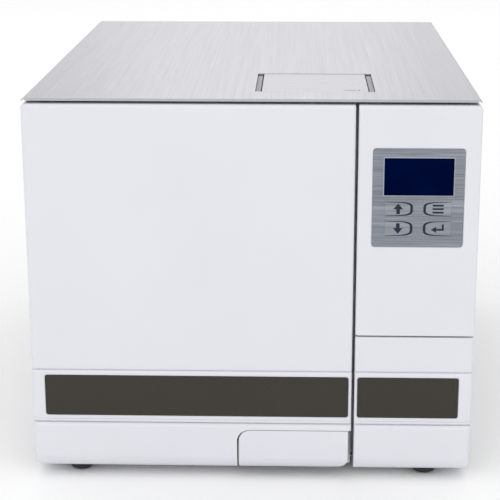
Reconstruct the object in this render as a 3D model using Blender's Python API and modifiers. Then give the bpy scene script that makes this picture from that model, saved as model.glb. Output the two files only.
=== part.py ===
"""Benchtop steam autoclave, as an assembly of separate pieces.

Metres, +Z up, the front faces -Y. The origin is at the middle of the footprint, on the
surface that the feet stand on.
"""
import math

import bmesh
import bpy
from mathutils import Matrix, Vector

# Whole machine
CASING_HALF_WIDTH = 0.240
HALF_DEPTH = 0.310
TOTAL_HEIGHT = 0.424
BODY_BOTTOM = 0.010
PAN_BOTTOM = 0.008
SHEET = 0.0015
PAN_FLOOR = PAN_BOTTOM + SHEET
WALL = 0.003
GAP = 0.0003
CHAMFER = 0.0008

# Front covers: main panel, band and lower panel step forward one after the other
MAIN_FRONT = -0.303
BAND_FRONT = -0.3055
PANEL_FRONT = -HALF_DEPTH
COVER_BACK = -0.268
COVER_TOP = 0.4185
BAND_TOP = 0.125
PANEL_TOP = 0.066
CURL_RADIUS = 0.018
HOLLOW_LOW = 0.0145
DOOR_RIGHT = 0.109
COLUMN_LEFT = 0.112
SERVICE_TOP = 0.1655
FASCIA_BOTTOM = 0.1675
STRIP_LOW = 0.0733
STRIP_HIGH = 0.1195

# Frame and casing
FRAME_FRONT = -0.263
FRAME_BACK = -0.2585
LIP_FRONT = -0.298
LIP_HEIGHT = 0.0028
CASING_BEND = 0.0045
BACK_PANEL_Y = 0.306

# Hinges of the two front doors
HINGE_X = 0.2315
HINGE_Y = -0.2745
PIN_RADIUS = 0.0025
KNUCKLE_RADIUS = 0.0045
ARM_HEIGHT = 0.006

# Chamber
CHAMBER_X = -0.0655
CHAMBER_Z = 0.240
CHAMBER_RADIUS = 0.125
CHAMBER_WALL = 0.0025
FLANGE_RADIUS = 0.140
FLANGE_FRONT = -0.2555
CHAMBER_SIDE_END = 0.100
CHAMBER_END = 0.128
JACKET_RADIUS = 0.145
TRAY_SHEET = 0.0012

# Tank filling lid in the top
LID_LEFT = 0.010
LID_RIGHT = 0.124
LID_FRONT = -0.2535
LID_BACK = -0.1405
GRIP_WIDTH = 0.007

# Control panel
PLATE_LEFT, PLATE_RIGHT = 0.1276, 0.2232
PLATE_LOW, PLATE_HIGH = 0.2673, 0.3732
WINDOW_LEFT, WINDOW_RIGHT = 0.1393, 0.2121
WINDOW_LOW, WINDOW_HIGH = 0.3233, 0.3634
KEY_COLUMNS = ((0.1405, 0.1705), (0.1807, 0.2107))
KEY_ROWS = ((0.3006, 0.3170), (0.2790, 0.2960))
KEY_NAMES = (("key_up", "key_menu"), ("key_down", "key_enter"))

# Door lever
LEVER_LEFT, LEVER_RIGHT = -0.014, 0.106
LEVER_LOW, LEVER_HIGH = 0.0127, 0.0584
LEVER_BACK = -0.298
LEVER_CORNER = 0.0125
LEVER_AXIS = (-0.0095, -0.3065)
LEVER_GAP = 0.0008
LUG_RADIUS = 0.0022
LUG_LOW, LUG_HIGH = 0.0245, 0.0285
POCKET_FLOOR = -0.285

# Door lock
LOCK_Y, LOCK_Z = -0.2465, 0.220
LOCK_PIN_TIP = 0.102

FOOT_X, FOOT_RADIUS = 0.192, 0.0135
FOOT_FRONT_Y, FOOT_REAR_Y = -0.278, 0.249
FAN_X, FAN_Z, FAN_SIZE = -0.155, 0.260, 0.120
SCREW_Y, SCREW_HEIGHTS = -0.238, (0.363, 0.319)


# ---------------------------------------------------------------- helpers

def clear_scene():
    for obj in list(bpy.data.objects):
        bpy.data.objects.remove(obj, do_unlink=True)


def new_collection(name):
    collection = bpy.data.collections.new(name)
    bpy.context.scene.collection.children.link(collection)
    return collection


clear_scene()
PARTS = new_collection("benchtop_autoclave")
CUTTERS = new_collection("cutters")


def finish(name, colour, roughness, metallic=0.0):
    material = bpy.data.materials.new(name)
    material.use_nodes = True
    shader = material.node_tree.nodes["Principled BSDF"]
    shader.inputs["Base Color"].default_value = (*colour, 1.0)
    shader.inputs["Roughness"].default_value = roughness
    shader.inputs["Metallic"].default_value = metallic
    material.diffuse_color = (*colour, 1.0)
    return material


STEEL = finish("brushed_steel", (0.62, 0.63, 0.66), 0.32, 1.0)
POLISHED = finish("polished_steel", (0.72, 0.72, 0.74), 0.16, 1.0)
ZINC = finish("zinc_plate", (0.45, 0.46, 0.47), 0.45, 1.0)
WHITE = finish("white_plastic", (0.80, 0.80, 0.82), 0.35)
SMOKED = finish("smoked_plastic", (0.055, 0.050, 0.042), 0.18)
KEYPLATE = finish("panel_metal", (0.25, 0.26, 0.31), 0.40, 0.8)
SCREEN = finish("screen_glass", (0.002, 0.006, 0.030), 0.10)
RUBBER = finish("black_rubber", (0.02, 0.02, 0.02), 0.75)
SILICONE = finish("silicone", (0.55, 0.10, 0.06), 0.60)
WOOL = finish("insulation", (0.62, 0.58, 0.45), 0.95)
BRASS = finish("brass", (0.65, 0.47, 0.20), 0.35, 1.0)
BLACK = finish("black_plastic", (0.03, 0.03, 0.03), 0.50)
TANK = finish("tank_plastic", (0.70, 0.74, 0.76), 0.40)
BOARD = finish("circuit_board", (0.02, 0.16, 0.06), 0.55)
MOTOR = finish("motor_paint", (0.12, 0.14, 0.17), 0.50)


def add_object(name, data, look):
    """Put mesh or curve data in the model, or among the cutters when it has no look."""
    obj = bpy.data.objects.new(name, data)
    if look is None:
        CUTTERS.objects.link(obj)
        obj.hide_render = True
        obj.display_type = "WIRE"
    else:
        PARTS.objects.link(obj)
        data.materials.append(look)
    return obj


def mesh_from(bm, name):
    bmesh.ops.recalc_face_normals(bm, faces=bm.faces)
    mesh = bpy.data.meshes.new(name)
    bm.to_mesh(mesh)
    bm.free()
    return mesh


def shade_round(obj):
    obj.data.shade_smooth()
    obj.data.set_sharp_from_angle(angle=math.radians(32))
    return obj


def bevel(obj, width, segments=2):
    modifier = obj.modifiers.new("Bevel", "BEVEL")
    modifier.width = width
    modifier.segments = segments
    modifier.limit_method = "ANGLE"
    modifier.angle_limit = math.radians(40)
    return obj


def combine(obj, operation, others):
    for other in others:
        modifier = obj.modifiers.new(operation.title(), "BOOLEAN")
        modifier.operation = operation
        modifier.object = other
        modifier.solver = "EXACT"
    return obj


def cut(obj, *cutters):
    return combine(obj, "DIFFERENCE", cutters)


def join(obj, *others):
    return combine(obj, "UNION", others)


def box(name, low, high, look=None, edge=0.0):
    """A block between two opposite corners, with its edges rounded by edge."""
    low, high = Vector(low), Vector(high)
    bm = bmesh.new()
    bmesh.ops.create_cube(bm, size=1.0, matrix=Matrix.Diagonal((*(high - low), 1.0)))
    obj = add_object(name, mesh_from(bm, name), look)
    obj.location = (low + high) / 2
    if edge:
        bevel(obj, edge)
    return obj


def rod(name, start, end, radius, look=None, sides=24, edge=0.0):
    """A round bar between two points."""
    start, end = Vector(start), Vector(end)
    bm = bmesh.new()
    bmesh.ops.create_cone(bm, cap_ends=True, segments=sides, radius1=radius, radius2=radius,
                          depth=(end - start).length)
    obj = add_object(name, mesh_from(bm, name), look)
    obj.location = (start + end) / 2
    obj.rotation_euler = (end - start).to_track_quat("Z", "Y").to_euler()
    if edge:
        bevel(obj, edge, 1)
    return shade_round(obj)


def turned(name, profile, base, direction, look, steps=32, ring=False):
    """Turn a profile of (radius, height) points about an axis through base.

    The profile runs down the outer side from its highest point. A ring's profile closes on
    itself; any other starts and ends on the axis.
    """
    mesh = bpy.data.meshes.new(name)
    count = len(profile)
    edges = [(i, i + 1) for i in range(count - 1)]
    if ring:
        edges.append((count - 1, 0))
    mesh.from_pydata([(radius, 0.0, height) for radius, height in profile], edges, [])
    obj = add_object(name, mesh, look)
    obj.location = base
    obj.rotation_euler = Vector(direction).to_track_quat("Z", "Y").to_euler()
    screw = obj.modifiers.new("Screw", "SCREW")
    screw.steps = steps
    screw.render_steps = steps
    screw.use_merge_vertices = True
    screw.merge_threshold = 0.00001
    screw.use_smooth_shade = False
    return obj


def corner_arc(centre, radius, start, steps):
    """Points of a quarter turn that starts at an angle given in quarter turns."""
    points = []
    for i in range(steps + 1):
        angle = (start + i / steps) * math.pi / 2
        points.append((centre[0] + radius * math.cos(angle), centre[1] + radius * math.sin(angle)))
    return points


def rounded_rectangle(u0, v0, u1, v1, radii, steps=4):
    """Anticlockwise outline; radii are for the corners (u0,v0), (u1,v0), (u1,v1), (u0,v1)."""
    first, second, third, fourth = radii
    return (corner_arc((u0 + first, v0 + first), first, 2, steps)
            + corner_arc((u1 - second, v0 + second), second, 3, steps)
            + corner_arc((u1 - third, v1 - third), third, 0, steps)
            + corner_arc((u0 + fourth, v1 - fourth), fourth, 1, steps))


PLANES = {
    "Z": Matrix(((1, 0, 0, 0), (0, 1, 0, 0), (0, 0, 1, 0), (0, 0, 0, 1))),
    "Y": Matrix(((1, 0, 0, 0), (0, 0, -1, 0), (0, 1, 0, 0), (0, 0, 0, 1))),
    "X": Matrix(((0, 0, 1, 0), (1, 0, 0, 0), (0, 1, 0, 0), (0, 0, 0, 1))),
}


def plate(name, outline, axis, low, high, look=None, edge=0.0):
    """A flat outline with thickness along an axis: (x, z) for Y, (y, z) for X, (x, y) for Z."""
    curve = bpy.data.curves.new(name, "CURVE")
    curve.dimensions = "2D"
    curve.fill_mode = "BOTH"
    curve.extrude = (high - low) / 2
    spline = curve.splines.new("POLY")
    spline.points.add(len(outline) - 1)
    for point, (u, v) in zip(spline.points, outline):
        point.co = (u, v, 0.0, 1.0)
    spline.use_cyclic_u = True
    source = bpy.data.objects.new(name + "_outline", curve)
    CUTTERS.objects.link(source)
    bpy.context.view_layer.update()
    graph = bpy.context.evaluated_depsgraph_get()
    mesh = bpy.data.meshes.new_from_object(source.evaluated_get(graph))
    bpy.data.objects.remove(source, do_unlink=True)
    bm = bmesh.new()
    bm.from_mesh(mesh)
    bmesh.ops.remove_doubles(bm, verts=bm.verts, dist=0.00001)
    obj = add_object(name, mesh_from(bm, name), look)
    middle = {"X": Vector((1, 0, 0)), "Y": Vector((0, 1, 0)), "Z": Vector((0, 0, 1))}[axis]
    obj.matrix_world = Matrix.Translation(middle * (low + high) / 2) @ PLANES[axis]
    if edge:
        bevel(obj, edge)
    return shade_round(obj)


def loft(name, rings, look):
    """Join closed rings of (x, y) points, each at its own height, into one solid."""
    bm = bmesh.new()
    levels = [[bm.verts.new((x, y, z)) for x, y in ring] for z, ring in rings]
    count = len(levels[0])
    for lower, upper in zip(levels, levels[1:]):
        for i in range(count):
            j = (i + 1) % count
            bm.faces.new((lower[i], lower[j], upper[j], upper[i]))
    bm.faces.new(list(reversed(levels[0])))
    bm.faces.new(levels[-1])
    return shade_round(add_object(name, mesh_from(bm, name), look))


def tube(name, points, radius, look):
    curve = bpy.data.curves.new(name, "CURVE")
    curve.dimensions = "3D"
    curve.bevel_depth = radius
    curve.bevel_resolution = 2
    curve.use_fill_caps = True
    spline = curve.splines.new("POLY")
    spline.points.add(len(points) - 1)
    for point, place in zip(spline.points, points):
        point.co = (*place, 1.0)
    return add_object(name, curve, look)


def pivot(name, place):
    """An empty on a joint's axis, which carries the pieces that move together."""
    empty = bpy.data.objects.new(name, None)
    empty.empty_display_size = 0.02
    empty.location = place
    PARTS.objects.link(empty)
    return empty


def carry(empty, *pieces):
    bpy.context.view_layer.update()
    for piece in pieces:
        piece.parent = empty
        piece.matrix_parent_inverse = empty.matrix_world.inverted()


# ---------------------------------------------------------------- sheet-metal body

def build_casing():
    """Brushed wrap over the top and both sides, with the lip that shades the front covers."""
    side, top, bend = CASING_HALF_WIDTH, TOTAL_HEIGHT, CASING_BEND
    outline = [(side, BODY_BOTTOM + SHEET)]
    outline += corner_arc((side - bend, top - bend), bend, 0, 4)
    outline += corner_arc((-side + bend, top - bend), bend, 1, 4)
    outline.append((-side, BODY_BOTTOM + SHEET))
    bm = bmesh.new()
    front = [bm.verts.new((x, LIP_FRONT, z)) for x, z in outline]
    back = [bm.verts.new((x, HALF_DEPTH, z)) for x, z in outline]
    for i in range(len(outline) - 1):
        bm.faces.new((front[i], front[i + 1], back[i + 1], back[i]))
    casing = add_object("outer_casing", mesh_from(bm, "outer_casing"), STEEL)
    solid = casing.modifiers.new("Solidify", "SOLIDIFY")
    solid.thickness = SHEET
    solid.offset = -1.0
    solid.use_even_offset = True
    hem = box("casing_hem", (-side + bend, LIP_FRONT, top - LIP_HEIGHT),
              (side - bend, LIP_FRONT + 0.012, top - SHEET / 2))
    below_lip = box("casing_front_cut", (-0.25, LIP_FRONT - 0.01, 0.0),
                    (0.25, FRAME_FRONT, top - LIP_HEIGHT))
    lid_hole = box("casing_lid_cut", (LID_LEFT - GRIP_WIDTH, LID_FRONT - 0.0005, top - 0.01),
                   (LID_RIGHT + GRIP_WIDTH, LID_BACK + 0.0005, top + 0.01))
    join(casing, hem)
    cut(casing, below_lip, lid_hole)
    for hand, sign in (("left", -1), ("right", 1)):
        for row in range(5):
            z = 0.060 + 0.012 * row
            cut(casing, box(f"casing_vent_{hand}_{row}", (sign * side - 0.01, 0.170, z),
                            (sign * side + 0.01, 0.270, z + 0.004)))
        for z in SCREW_HEIGHTS:
            cut(casing, rod(f"casing_screw_hole_{hand}_{z}", (sign * side - 0.01, SCREW_Y, z),
                            (sign * side + 0.01, SCREW_Y, z), 0.0024, sides=12))
    return shade_round(casing)


def build_side_screws():
    """Raised screws that hold the casing to the frame near its front edge."""
    profile = [(0.0, 0.0015), (0.0024, 0.0013), (0.0040, 0.0006), (0.0040, GAP),
               (0.0020, GAP), (0.0020, -0.008), (0.0, -0.008)]
    for hand, sign in (("left", -1), ("right", 1)):
        for level, z in zip(("upper", "lower"), SCREW_HEIGHTS):
            turned(f"side_screw_{hand}_{level}", profile, (sign * CASING_HALF_WIDTH, SCREW_Y, z),
                   (sign, 0, 0), POLISHED, steps=12)


def build_base():
    """Floor pan with turned-up side and back walls and two front tongues, on four rubber feet."""
    half = CASING_HALF_WIDTH - SHEET - 0.0005
    back = BACK_PANEL_Y - GAP
    pan = box("base_tray", (-half, FRAME_FRONT, PAN_BOTTOM), (half, back, 0.030), ZINC)
    hollow = box("base_hollow", (-half + SHEET, FRAME_FRONT - 0.01, PAN_FLOOR),
                 (half - SHEET, back - SHEET, 0.04))
    front_clear = box("base_front_clear", (-0.25, FRAME_FRONT - 0.01, PAN_FLOOR), (0.25, -0.252, 0.04))
    cut(pan, hollow, front_clear)
    for hand, x in (("left", -FOOT_X), ("right", FOOT_X)):
        join(pan, box(f"base_tongue_{hand}", (x - 0.018, FOOT_FRONT_Y - FOOT_RADIUS, PAN_BOTTOM),
                      (x + 0.018, FRAME_FRONT + 0.01, PAN_FLOOR)))
    foot = [(0.0, -GAP), (FOOT_RADIUS - 0.001, -GAP), (FOOT_RADIUS, -0.0014),
            (FOOT_RADIUS - 0.0006, -0.0048), (FOOT_RADIUS - 0.0025, -0.0070),
            (FOOT_RADIUS - 0.0050, -PAN_BOTTOM), (0.0, -PAN_BOTTOM)]
    for depth, y in (("front", FOOT_FRONT_Y), ("rear", FOOT_REAR_Y)):
        for hand, x in (("left", -FOOT_X), ("right", FOOT_X)):
            turned(f"foot_{depth}_{hand}", foot, (x, y, PAN_BOTTOM), (0, 0, 1), RUBBER, steps=20)


def build_front_frame():
    """Bulkhead behind the doors, folded back along its edges, with the round chamber hole."""
    half, low, high = 0.2378, 0.0125, 0.4205
    frame = box("front_frame", (-half, FRAME_FRONT, low), (half, FRAME_BACK, high), ZINC)
    pan = box("frame_pan", (-half + 0.002, FRAME_FRONT + 0.002, low + 0.002),
              (half - 0.002, -0.25, high - 0.002))
    chamber = rod("frame_chamber_hole", (CHAMBER_X, -0.27, CHAMBER_Z), (CHAMBER_X, -0.25, CHAMBER_Z),
                  0.1465, sides=48)
    service = box("frame_service_hole", (0.124, -0.27, 0.028), (0.226, -0.25, 0.152))
    latch = box("frame_latch_hole", (0.083, -0.27, LOCK_Z - 0.021), (0.1075, -0.25, LOCK_Z + 0.021))
    cable = box("frame_cable_hole", (0.160, -0.27, 0.300), (0.200, -0.25, 0.320))
    return cut(frame, pan, chamber, service, latch, cable)


def build_back_panel():
    """Rear sheet with the fan grille, air slots and the mains inlet's hole."""
    half = CASING_HALF_WIDTH - SHEET - 0.0005
    outline = rounded_rectangle(-half, BODY_BOTTOM + 0.0005, half, TOTAL_HEIGHT - SHEET - 0.0005,
                                (0.001, 0.001, 0.004, 0.004), 3)
    panel = plate("back_panel", outline, "Y", BACK_PANEL_Y, BACK_PANEL_Y + SHEET, ZINC)
    for row in range(9):
        offset = (row - 4) * 0.012
        reach = math.sqrt(0.054 ** 2 - offset ** 2)
        z = FAN_Z + offset
        cut(panel, box(f"panel_fan_slot_{row}", (FAN_X - reach, 0.30, z - 0.0035),
                       (FAN_X + reach, 0.32, z + 0.0035)))
    for row in range(4):
        z = 0.320 + 0.014 * row
        cut(panel, box(f"panel_air_slot_{row}", (0.060, 0.30, z), (0.180, 0.32, z + 0.005)))
    cut(panel, box("panel_inlet_hole", (0.1495, 0.30, 0.0495), (0.1985, 0.32, 0.0805)))
    return panel


# ---------------------------------------------------------------- chamber group

def build_chamber():
    """Pressure vessel with its flange, heater, jacket, cradle, safety valve and steam pipe."""
    place = (CHAMBER_X, 0.0, CHAMBER_Z)
    inner, outer = CHAMBER_RADIUS, CHAMBER_RADIUS + CHAMBER_WALL
    dome = [(math.sin(a) * outer, CHAMBER_SIDE_END + math.cos(a) * (CHAMBER_END - CHAMBER_SIDE_END))
            for a in (0.0, 0.35, 0.75, 1.15, math.pi / 2)]
    inside = [(radius * inner / outer, height - CHAMBER_WALL) for radius, height in reversed(dome)]
    flange = [(outer, FLANGE_FRONT + 0.010), (FLANGE_RADIUS, FLANGE_FRONT + 0.010),
              (FLANGE_RADIUS, FLANGE_FRONT), (inner, FLANGE_FRONT)]
    turned("chamber_vessel", dome + flange + inside, place, (0, 1, 0), POLISHED, steps=40)

    band = [(0.1305, 0.020), (0.1305, -0.080), (0.1278, -0.080), (0.1278, 0.020)]
    turned("heater_band", band, place, (0, 1, 0), BRASS, steps=40, ring=True)
    jacket = [(JACKET_RADIUS, 0.070), (JACKET_RADIUS, -0.235), (0.1310, -0.235), (0.1310, 0.070)]
    turned("insulation_jacket", jacket, place, (0, 1, 0), WOOL, steps=40, ring=True)

    floor = PAN_FLOOR + GAP
    left, right, high = CHAMBER_X - 0.100, CHAMBER_X + 0.100, 0.130
    cradle = box("chamber_cradle", (left, -0.190, floor), (right, -0.170, high), ZINC)
    rear = box("cradle_rear", (left, 0.030, floor), (right, 0.050, high))
    rail = box("cradle_rail", (left + 0.04, -0.180, floor), (right - 0.04, 0.040, floor + 0.003))
    bore = rod("cradle_bore", (CHAMBER_X, -0.3, CHAMBER_Z), (CHAMBER_X, 0.1, CHAMBER_Z),
               JACKET_RADIUS + 0.0006, sides=40)
    cut(join(cradle, rear, rail), bore)

    valve = [(0.0, 0.042), (0.006, 0.042), (0.006, 0.036), (0.010, 0.034), (0.010, 0.014),
             (0.013, 0.012), (0.013, 0.006), (0.007, 0.004), (0.007, 0.0), (0.0, 0.0)]
    turned("safety_valve", valve, (CHAMBER_X, 0.088, CHAMBER_Z + outer + 0.0005), (0, 0, 1),
           BRASS, steps=16)


def build_steam_supply():
    """Steam generator behind the tank and the pipe from it to the chamber's end."""
    generator = [(0.0, 0.150), (0.012, 0.150), (0.012, 0.140), (0.030, 0.136), (0.036, 0.128),
                 (0.036, 0.006), (0.040, 0.006), (0.040, 0.0), (0.0, 0.0)]
    place = Vector((0.175, 0.235, PAN_FLOOR + GAP))
    turned("steam_generator", generator, place, (0, 0, 1), POLISHED, steps=24)
    start = place + Vector((0, 0, 0.1522))
    end = Vector((CHAMBER_X, CHAMBER_END + GAP + 0.001, CHAMBER_Z))
    route = []
    for i in range(17):
        t = i / 16
        route.append((1 - t) ** 3 * start + 3 * t * (1 - t) ** 2 * (start + Vector((0, 0, 0.075)))
                     + 3 * t * t * (1 - t) * (end + Vector((0, 0.090, 0))) + t ** 3 * end)
    tube("steam_pipe", route, 0.004, POLISHED)


def build_tray_rack():
    """Open channel with three pairs of rails, and the three trays that rest on them."""
    half, low, high = 0.088, CHAMBER_Z - 0.084, CHAMBER_Z + 0.078
    front, back = -0.228, 0.092
    left, right = CHAMBER_X - half, CHAMBER_X + half
    rack = box("tray_rack", (left, front, low), (right, back, high), POLISHED)
    cut(rack, box("rack_hollow", (left + SHEET, front - 0.01, low + SHEET),
                  (right - SHEET, back + 0.01, high + 0.01)))
    for slot in range(4):
        y = front + 0.025 + slot * 0.075
        cut(rack, box(f"rack_floor_slot_{slot}", (left + 0.02, y, low - 0.01),
                      (right - 0.02, y + 0.050, low + 0.01)))
    for level, offset in (("lower", -0.056), ("middle", -0.010), ("upper", 0.036)):
        z = CHAMBER_Z + offset
        for hand, wall, sign in (("left", left, 1), ("right", right, -1)):
            ends = sorted((wall + sign * SHEET / 2, wall + sign * 0.009))
            join(rack, box(f"rack_rail_{level}_{hand}", (ends[0], front, z),
                           (ends[1], back - 0.004, z + SHEET)))
        floor = z + SHEET + GAP
        low_corner = Vector((left + 0.0035, front + 0.004, floor))
        high_corner = Vector((right - 0.0035, back - 0.018, floor + 0.014))
        tray = box(f"tray_{level}", low_corner, high_corner, POLISHED)
        cut(tray, box(f"tray_hollow_{level}", low_corner + Vector((TRAY_SHEET,) * 3),
                      high_corner + Vector((-TRAY_SHEET, -TRAY_SHEET, 0.01))))


# ---------------------------------------------------------------- water tank and lid

def build_tank():
    """Tank beside the chamber, the collar round its filling mouth, and the lift-off lid."""
    wall, back = 0.003, 0.090
    deep = ((0.086, -0.230, 0.170), (0.232, back, 0.4095))
    shelf = ((0.008, -0.2575, 0.374), (0.126, -0.1365, 0.4095))
    tank = box("water_tank", *deep, TANK)
    join(tank, box("tank_shelf", *shelf))
    inset = Vector((wall, wall, wall))
    mouth = box("tank_mouth", (0.018, -0.2465, 0.39), (0.116, -0.1475, 0.42))
    cut(tank, box("tank_hollow_deep", Vector(deep[0]) + inset, Vector(deep[1]) - inset),
        box("tank_hollow_shelf", Vector(shelf[0]) + inset, Vector(shelf[1]) - inset), mouth)

    low, high = 0.4100, TOTAL_HEIGHT - SHEET - GAP
    left, right = LID_LEFT - GRIP_WIDTH, LID_RIGHT + GRIP_WIDTH
    collar = box("lid_collar", (left - 0.004, LID_FRONT - 0.004, low),
                 (right + 0.004, LID_BACK + 0.004, high), BLACK)
    well_floor = low + 0.0025
    cut(collar, box("collar_well", (left, LID_FRONT - 0.0005, well_floor), (right, LID_BACK + 0.0005, 0.43)),
        box("collar_mouth", (0.018, -0.2465, 0.40), (0.116, -0.1475, 0.42)))

    bottom = well_floor + GAP
    outline = rounded_rectangle(LID_LEFT, LID_FRONT, LID_RIGHT, LID_BACK, (0.002,) * 4, 3)
    lid = plate("tank_lid", outline, "Z", bottom, TOTAL_HEIGHT, STEEL)
    cut(lid, box("lid_hollow", (LID_LEFT + 0.002, LID_FRONT + 0.002, bottom - 0.01),
                 (LID_RIGHT - 0.002, LID_BACK - 0.002, TOTAL_HEIGHT - 0.002)))
    middle = ((LID_LEFT + LID_RIGHT) / 2, (LID_FRONT + LID_BACK) / 2, bottom)
    carry(pivot("lid_axis", middle), lid)


# ---------------------------------------------------------------- rear machinery

def build_vacuum_pump():
    """Dry pump: motor barrel, head, base and outlet port."""
    floor = PAN_FLOOR + GAP
    pump = rod("vacuum_pump", (-0.205, 0.215, 0.062), (-0.085, 0.215, 0.062), 0.038, MOTOR, 28, 0.003)
    join(pump, box("pump_head", (-0.090, 0.180, 0.030), (-0.030, 0.250, 0.105)),
         box("pump_base", (-0.190, 0.185, floor), (-0.045, 0.245, 0.034)),
         rod("pump_port", (-0.060, 0.215, 0.100), (-0.060, 0.215, 0.125), 0.006, sides=14))


def build_cooling():
    """Condenser block with the axial fan that draws air through it and out of the back."""
    half = FAN_SIZE / 2
    low, high = (FAN_X - half, 0.242, FAN_Z - half), (FAN_X + half, 0.2745, FAN_Z + half)
    core = box("condenser_core", low, high, POLISHED)
    for fin in range(7):
        x = FAN_X - half + 0.012 + fin * 0.0145
        cut(core, box(f"core_gap_{fin}", (x, 0.23, FAN_Z - half + 0.01),
                      (x + 0.009, 0.28, FAN_Z + half - 0.01)))

    front, back = 0.278, 0.303
    housing = box("fan_housing", (low[0], front, low[2]), (high[0], back, high[2]), BLACK)
    cut(housing, rod("fan_bore", (FAN_X, 0.27, FAN_Z), (FAN_X, 0.31, FAN_Z), half - 0.003, sides=36))
    join(housing, rod("fan_seat", (FAN_X, front, FAN_Z), (FAN_X, front + 0.004, FAN_Z), 0.018, sides=20),
         box("fan_strut_flat", (FAN_X - half + 0.001, front + 0.0005, FAN_Z - 0.003),
             (FAN_X + half - 0.001, front + 0.0035, FAN_Z + 0.003)),
         box("fan_strut_upright", (FAN_X - 0.003, front + 0.0005, FAN_Z - half + 0.001),
             (FAN_X + 0.003, front + 0.0035, FAN_Z + half - 0.001)))

    hub_front = front + 0.004 + GAP
    rotor = rod("fan_rotor", (FAN_X, hub_front, FAN_Z), (FAN_X, back - 0.001, FAN_Z), 0.019,
                BLACK, 24, 0.001)
    centre = Vector((FAN_X, (hub_front + back) / 2, FAN_Z))
    for blade in range(7):
        vane = box(f"fan_blade_{blade}", (-0.011, -0.0010, 0.0), (0.011, 0.0010, 0.0375))
        turn = Matrix.Rotation(blade * 2 * math.pi / 7, 4, "Y")
        twist = Matrix.Rotation(math.radians(32), 4, "Z")
        vane.matrix_world = Matrix.Translation(centre) @ turn @ Matrix.Translation((0, 0, 0.03475)) @ twist
        join(rotor, vane)
    carry(pivot("fan_axis", centre), rotor)


def build_electrics():
    """Controller board on the right wall, and the mains inlet in the back."""
    board = box("main_board", (0.2285, 0.105, 0.170), (0.2301, 0.290, 0.400), BOARD)
    relay, capacitor, transformer, header = ((0.112, 0.190, 0.016, 0.040), (0.150, 0.330, 0.020, 0.030),
                                             (0.230, 0.230, 0.024, 0.050), (0.190, 0.290, 0.012, 0.020))
    for index, (y, z, depth, size) in enumerate((relay, capacitor, transformer, header)):
        join(board, box(f"board_part_{index}", (0.2285 - depth, y, z), (0.2290, y + size, z + size)))
    inlet = box("mains_inlet", (0.150, 0.278, 0.050), (0.198, 0.309, 0.080), BLACK)
    join(inlet, box("inlet_flange", (0.142, BACK_PANEL_Y + SHEET + GAP, 0.046),
                    (0.206, HALF_DEPTH, 0.084)))
    cut(inlet, box("inlet_well", (0.156, 0.290, 0.055), (0.192, 0.32, 0.075)))


# ---------------------------------------------------------------- front covers

def quarter_inset(radius, distance):
    """How far a rounded edge draws in at a distance from its end."""
    if distance >= radius:
        return 0.0
    return radius - math.sqrt(max(radius ** 2 - (radius - distance) ** 2, 0.0))


def cover_front(z):
    """Y of the front surface at a height: main panel, band, lower panel and its curl."""
    if z >= BAND_TOP:
        return MAIN_FRONT
    if z >= PANEL_TOP:
        return BAND_FRONT + quarter_inset(MAIN_FRONT - BAND_FRONT, BAND_TOP - z)
    shoulder = quarter_inset(BAND_FRONT - PANEL_FRONT, PANEL_TOP - z)
    return PANEL_FRONT + shoulder + quarter_inset(CURL_RADIUS, z - BODY_BOTTOM)


def cover_heights(low, high):
    """Heights of the sections that the shape of a cover needs between two levels."""
    steps = (0.0, 0.0004, 0.0014, 0.0035, 0.0080)
    bends = [low + step for step in steps] + [high - step for step in steps]
    bends += [BODY_BOTTOM + step for step in (0.0015, 0.005, 0.011, CURL_RADIUS)]
    bends += [PANEL_TOP - step for step in (0.0, 0.0004, 0.0016, 0.0045)]
    bends += [BAND_TOP - step for step in (0.0, 0.0006, 0.0025)]
    return sorted({round(z, 6) for z in bends if low <= z <= high})


def cover_solid(name, left, right, low, high, corners, top_edge, plan_radii, look, back=COVER_BACK):
    """Solid of a front cover: corners are its radii in front view, from the lower left round."""
    lower_left, lower_right, upper_right, upper_left = corners
    rings = []
    for z in cover_heights(low, high):
        x0 = left + max(quarter_inset(lower_left, z - low), quarter_inset(upper_left, high - z))
        x1 = right - max(quarter_inset(lower_right, z - low), quarter_inset(upper_right, high - z))
        front = cover_front(z) + quarter_inset(top_edge, high - z)
        rings.append((z, rounded_rectangle(x0, front, x1, back, plan_radii, 3)))
    return loft(name, rings, look)


def strip_in_band(name, cover, left, right):
    """Smoked strip let into the band of a cover."""
    gap = 0.0004
    hole = rounded_rectangle(left - gap, STRIP_LOW - gap, right + gap, STRIP_HIGH + gap, (0.003,) * 4)
    cut(cover, plate(name + "_recess", hole, "Y", BAND_FRONT - 0.01, BAND_FRONT + 0.0015))
    outline = rounded_rectangle(left, STRIP_LOW, right, STRIP_HIGH, (0.0026,) * 4)
    return plate(name, outline, "Y", BAND_FRONT, BAND_FRONT + 0.0012, SMOKED)


def hinge_bracket(name, sign, arm_levels, low, high):
    """Plate on the frame with arms that reach into the hollow back of a door."""
    back = FRAME_FRONT - GAP
    x = sign * HINGE_X
    bracket = box(name, (x - 0.005, back - 0.0013, low), (x + 0.005, back, high), STEEL)
    for index, z in enumerate(arm_levels):
        top = z + ARM_HEIGHT
        join(bracket, box(f"{name}_arm_{index}", (x - 0.003, HINGE_Y, z), (x + 0.003, back - 0.0005, top)),
             rod(f"{name}_eye_{index}", (x, HINGE_Y, z), (x, HINGE_Y, top), KNUCKLE_RADIUS, sides=20))
    return bracket


def arm_slots(name, cover, sign, arm_levels):
    """Slots in a door's side wall that let the hinge arms pass as it swings."""
    edge = sign * CASING_HALF_WIDTH
    for index, z in enumerate(arm_levels):
        low = (min(edge - sign * 0.0045, edge + sign * 0.01), HINGE_Y - 0.0062, z - 0.0015)
        high = (max(edge - sign * 0.0045, edge + sign * 0.01), -0.25, z + ARM_HEIGHT + 0.0015)
        cut(cover, box(f"{name}_{index}", low, high))


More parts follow.
